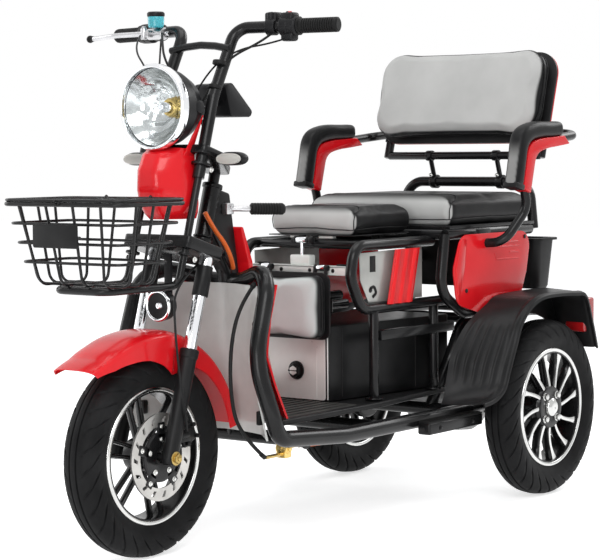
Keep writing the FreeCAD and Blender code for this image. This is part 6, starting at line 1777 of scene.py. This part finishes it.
form = bmesh.new()
for side in (1, -1):
    def fender_spot(u, v):
        lip_x, lip_z, inner_x, inner_z = along_rows(fender_rows, v / 66)
        ahead = along_rows(fender_rows, min(1, v / 66 + 0.01))
        behind = along_rows(fender_rows, max(0, v / 66 - 0.01))
        way = Vector((ahead[0] - behind[0], ahead[1] - behind[1])).normalized()
        out = Vector((-way.y, way.x))
        if out.y < 0 and v < 60:
            out = -out
        if v >= 60:
            out = Vector((-abs(out.x), abs(out.y)))
        if u <= 48:
            share = u / 48
            x = inner_x + (lip_x - inner_x) * share
            z = inner_z + (lip_z - inner_z) * share
            y = 236 + 104 * share
            lift = 0.0
            if 10 < v < 30:
                fade = math.sin(math.pi * (v - 10) / 20) ** 0.5
                for centre_share in (0.14, 0.3, 0.46, 0.62, 0.78):
                    away = abs(share - centre_share) * 106
                    lift = max(lift, 3.0 * fade * max(0, 1 - (away / 4.2) ** 2))
            swell = 2.2 * math.exp(-((share - 0.93) / 0.045) ** 2)
            x, z = x + out.x * (lift + swell), z + out.y * (lift + swell)
        else:
            step = (u - 48) / 6
            turn = step * math.pi / 2
            y = 340 + 4.5 * math.sin(turn)
            drop = 4.5 * (1 - math.cos(turn)) + 9 * max(0, step - 0.5)
            x, z = lip_x - out.x * drop, lip_z - out.y * drop
        return Vector((x, side * y, z))

    skin(form, 54, 66, fender_spot)
walled(form, 3.4)
guard_black = finish("guard_black", (0.011, 0.011, 0.0115), 0.36, mottle=0.25, grain=1000, depth=0.0001,
                     shine=0.12)
fit(form, "rear_guard_skins", guard_black, "frame", "plastic_black", "rear_mudguards", angle=42)

# The guards' inner walls: flat black sheets along the wheel's arch, moulded
# with the guards and screwed to spacers on the seat frame.
form = bmesh.new()
wall_top = [(-262, 266), (-301, 300), (-322, 345), (-350, 396), (-376, 430), (-424, 460), (-493, 480),
            (-634, 482), (-686, 470), (-716, 408)]
for side in (1, -1):
    arch = []
    for k in range(15):
        a = math.radians(28 + k * (166 - 28) / 14)
        arch.append((rear_axle_x - 222 * math.cos(a), axle_height + 222 * math.sin(a)))
    arch = [p for p in arch if p[0] > -742]
    plate(form, [(x, side * 236, z) for x, z in wall_top + arch], (0, side * 4, 0), 0.6)
    for x in (-470, -560):
        block(form, x - 14, x + 14, *sorted((side * 222, side * 238)), 456, 476, 2)
fit(form, "guard_inner_walls", satin_black, "frame", "plastic_black")

# Tail lamps: red moulded lenses with fine prisms across them, screwed to the
# guards' backs.
lamp_red = finish("lamp_red", (0.42, 0.008, 0.01), 0.14, mottle=0.08, grain=90, depth=0.0004, coat=0.5)
tail_y = 291
form = bmesh.new()
for side in (1, -1):
    y0, y1 = sorted((side * tail_y - 29, side * tail_y + 29))
    block(form, -764, -716, y0, y1, 378, 462, 7, 4)
    for k in range(7):
        z = 388 + 11 * k
        tube(form, [(-764.5, y0 + 8, z), (-764.5, y1 - 8, z)], 2.4, 0, 8)
fit(form, "tail_lenses", lamp_red, "frame", "lamp_red", "tail_lamps")

# Rear axle: a steel tube with a brake drum at each end, swung on two arms
# under the floor; the drive motor is bolted round its middle.
arm_foot_y = 150
motor_radius = 74
form = bmesh.new()
rod(form, (rear_axle_x, -286, axle_height), (rear_axle_x, 286, axle_height), 46, 2, 36)
for side in (1, -1):
    drum = [(220, 23), (220, 60), (224, 65), (240, 65), (246, 61), (246, 23)]
    lathe(form, drum, 2, 3, (rear_axle_x, 0, axle_height), 56, side=side)
    tube(form, [(rear_axle_x, side * arm_foot_y, axle_height), (-420, side * arm_foot_y, 205),
                (-330, side * 110, floor_z)], 26, 60, 20)
    block(form, rear_axle_x - 30, rear_axle_x + 30, side * arm_foot_y - 12, side * arm_foot_y + 12,
          186, 234, 4)
    block(form, rear_axle_x + 60, rear_axle_x + 74, *sorted((side * 224, side * 236)), 205, 262, 3)
fit(form, "axle_and_drums", frame_black, "frame", "frame_black", "rear_axle")
form = bmesh.new()
case = [(-65, 23), (-65, 66), (-60, 72), (-44, 75), (60, 75), (84, 72), (98, 62), (105, 44), (105, 23)]
lathe(form, case, 4, 4, (rear_axle_x, 0, axle_height), 72)
for k in range(18):
    a = 2 * math.pi * k / 18
    fin = Vector((rear_axle_x + motor_radius * math.cos(a), 0, axle_height + motor_radius * math.sin(a)))
    tube(form, [fin + Vector((0, -40, 0)), fin + Vector((0, 58, 0))], 4, 0, 8)
for k in range(6):
    a = 2 * math.pi * k / 6 + 0.3
    spot = Vector((rear_axle_x + 60 * math.cos(a), -65, axle_height + 60 * math.sin(a)))
    bolt(form, spot, (0, -1, 0), 9, 3)
cast_grey = finish("cast_grey", (0.3, 0.3, 0.3), 0.48, metal=0.7, mottle=0.15, grain=420, depth=0.00015)
fit(form, "motor_case", cast_grey, "frame", "motor_case", "drive_motor")

# Springs: red wound steel round a black damper at each side, bolted between
# the axle and the rear rail.
coil_turns = 7
coil_radius = 20
form = bmesh.new()
rods = bmesh.new()
for side in (1, -1):
    foot = Vector((rear_axle_x, side * arm_foot_y, 226))
    head = Vector((-597, side * arm_foot_y, 410))
    run = head - foot
    rod(rods, foot, head, 14, 1)
    rod(rods, foot + run * 0.05, foot + run * 0.5, 26, 2)
    rod(rods, foot + run * 0.12, foot + run * 0.16, 48, 1.5)
    rod(rods, foot + run * 0.9, foot + run * 0.94, 48, 1.5)
    turn = run.to_track_quat("Z", "Y").to_matrix()
    coil = []
    for k in range(coil_turns * 20 + 1):
        a = 2 * math.pi * k / 20
        rise = run * (0.18 + 0.71 * k / (coil_turns * 20))
        coil.append(foot + rise + turn @ Vector((coil_radius * math.cos(a), coil_radius * math.sin(a), 0)))
    tube(form, coil, 7.5, 0, 10)
fit(form, "coil_springs", red_gloss, "frame", "frame_black", "rear_springs")
fit(rods, "spring_dampers", satin_black, "frame", "frame_black")

# Parking brake lever: a steel shaft on a bracket beside the head tube, with a
# ribbed rubber grip pushed on.
lever_z = 706
lever_turn = math.radians(35)
lever_root = Vector((steer_point(lever_z).x - 40, 21, lever_z))
lever_way = Vector((-math.cos(lever_turn), math.sin(lever_turn), -0.02)).normalized()
form = bmesh.new()
sleeve = [(50, POLE), (50, 10), (52, 12.4)]
reach = 56
while reach < 116:
    sleeve += [(reach, 12.8), (reach + 0.7, 11.4), (reach + 2.4, 11.4), (reach + 3.1, 12.8)]
    reach += 6
sleeve += [(121, 12.6), (126, 9), (126, POLE)]
spun(form, sleeve, lever_root, 32, lever_way)
fit(form, "lever_grip", rubber, "frame", "rubber_black", "parking_lever", angle=28)
form = bmesh.new()
rod(form, lever_root, lever_root + lever_way * 56, 12, 1)
block(form, lever_root.x - 12, lever_root.x + 12, 13.2, 29, 694, 718, 3)
bolt(form, lever_root + Vector((0, 8, 4)), (0, 1, 0), 10, 3)
fit(form, "lever_shaft", cast_metal, "frame", "zinc")

# Pedal linkage: zinc-plated steel rods and a bell crank under the floor, on a
# bracket welded to the first cross tube.
form = bmesh.new()
block(form, 238, 260, 122, 148, 178, 216, 3)
rod(form, (240, 135, 186), (330, 150, 190), 8, 1)
rod(form, (180, 135, 200), (262, 135, 200), 10, 1)
rod(form, (249, 120.5, 198), (249, 149.5, 198), 22, 1.5)
bolt(form, (249, 149, 198), (0, 1, 0), 11, 3)
rod(form, (186, 135, 200), (198, 135, 200), 15, 1, 6)
fit(form, "brake_linkage", gold_zinc, "frame", "zinc", "pedal_linkage")

# Conduit: ribbed orange tube over the motor cables, from the head to the
# floor and on under it to the motor.
orange = finish("conduit_orange", (0.82, 0.16, 0.02), 0.42, mottle=0.12, grain=600, depth=0.00006)


def ribbed(form, points, diameter, pitch):
    """A corrugated tube along a smooth run: a ring at each pitch on a thinner core"""
    spots = smooth_run(points, 40)
    reach = [0.0]
    for a, b in zip(spots, spots[1:]):
        reach.append(reach[-1] + (b - a).length)
    goal = 0.0
    i = 0
    while goal < reach[-1] - 1:
        while reach[i + 1] < goal:
            i += 1
        here = spots[i].lerp(spots[i + 1], (goal - reach[i]) / (reach[i + 1] - reach[i]))
        way = (spots[i + 1] - spots[i]).normalized()
        rod(form, here - way * pitch * 0.3, here + way * pitch * 0.3, diameter, pitch * 0.16, 14)
        goal += pitch
    tube(form, spots[::3] + [spots[-1]], diameter * 0.84, 0, 12)


form = bmesh.new()
ribbed(form, [(368, 25, 700), (346, 30, 664), (316, 33, 636), (288, 30, 600), (270, 19, 578)], 10, 3)
ribbed(form, [(240, 96, 208), (160, 100, 190), (60, 106, 185), (-40, 120, 189), (-120, 150, 200),
              (-200, 176, 206)], 11, 3)
fit(form, "conduit_tubes", orange, "frame", "conduit_orange", "conduit")

# Hose: a black rubber brake hose that bows out ahead of the leg shield, with
# a crimped fitting at each end.
form = bmesh.new()
hose_top, hose_foot = (346, 138, 553), (332.7, 150, 190)
hose_run = [hose_top, (404, 146, 516), (444, 152, 436), (446, 152, 330), (416, 150, 250), hose_foot]
tube(form, smooth_run(hose_run, 12), 8, 0, 14)
rod(form, hose_top, (356, 139, 547), 12, 1, 6)
rod(form, hose_foot, (346, 150.3, 199), 11, 1, 6)
fit(form, "brake_hose", rubber, "frame", "rubber_black", "hoses")
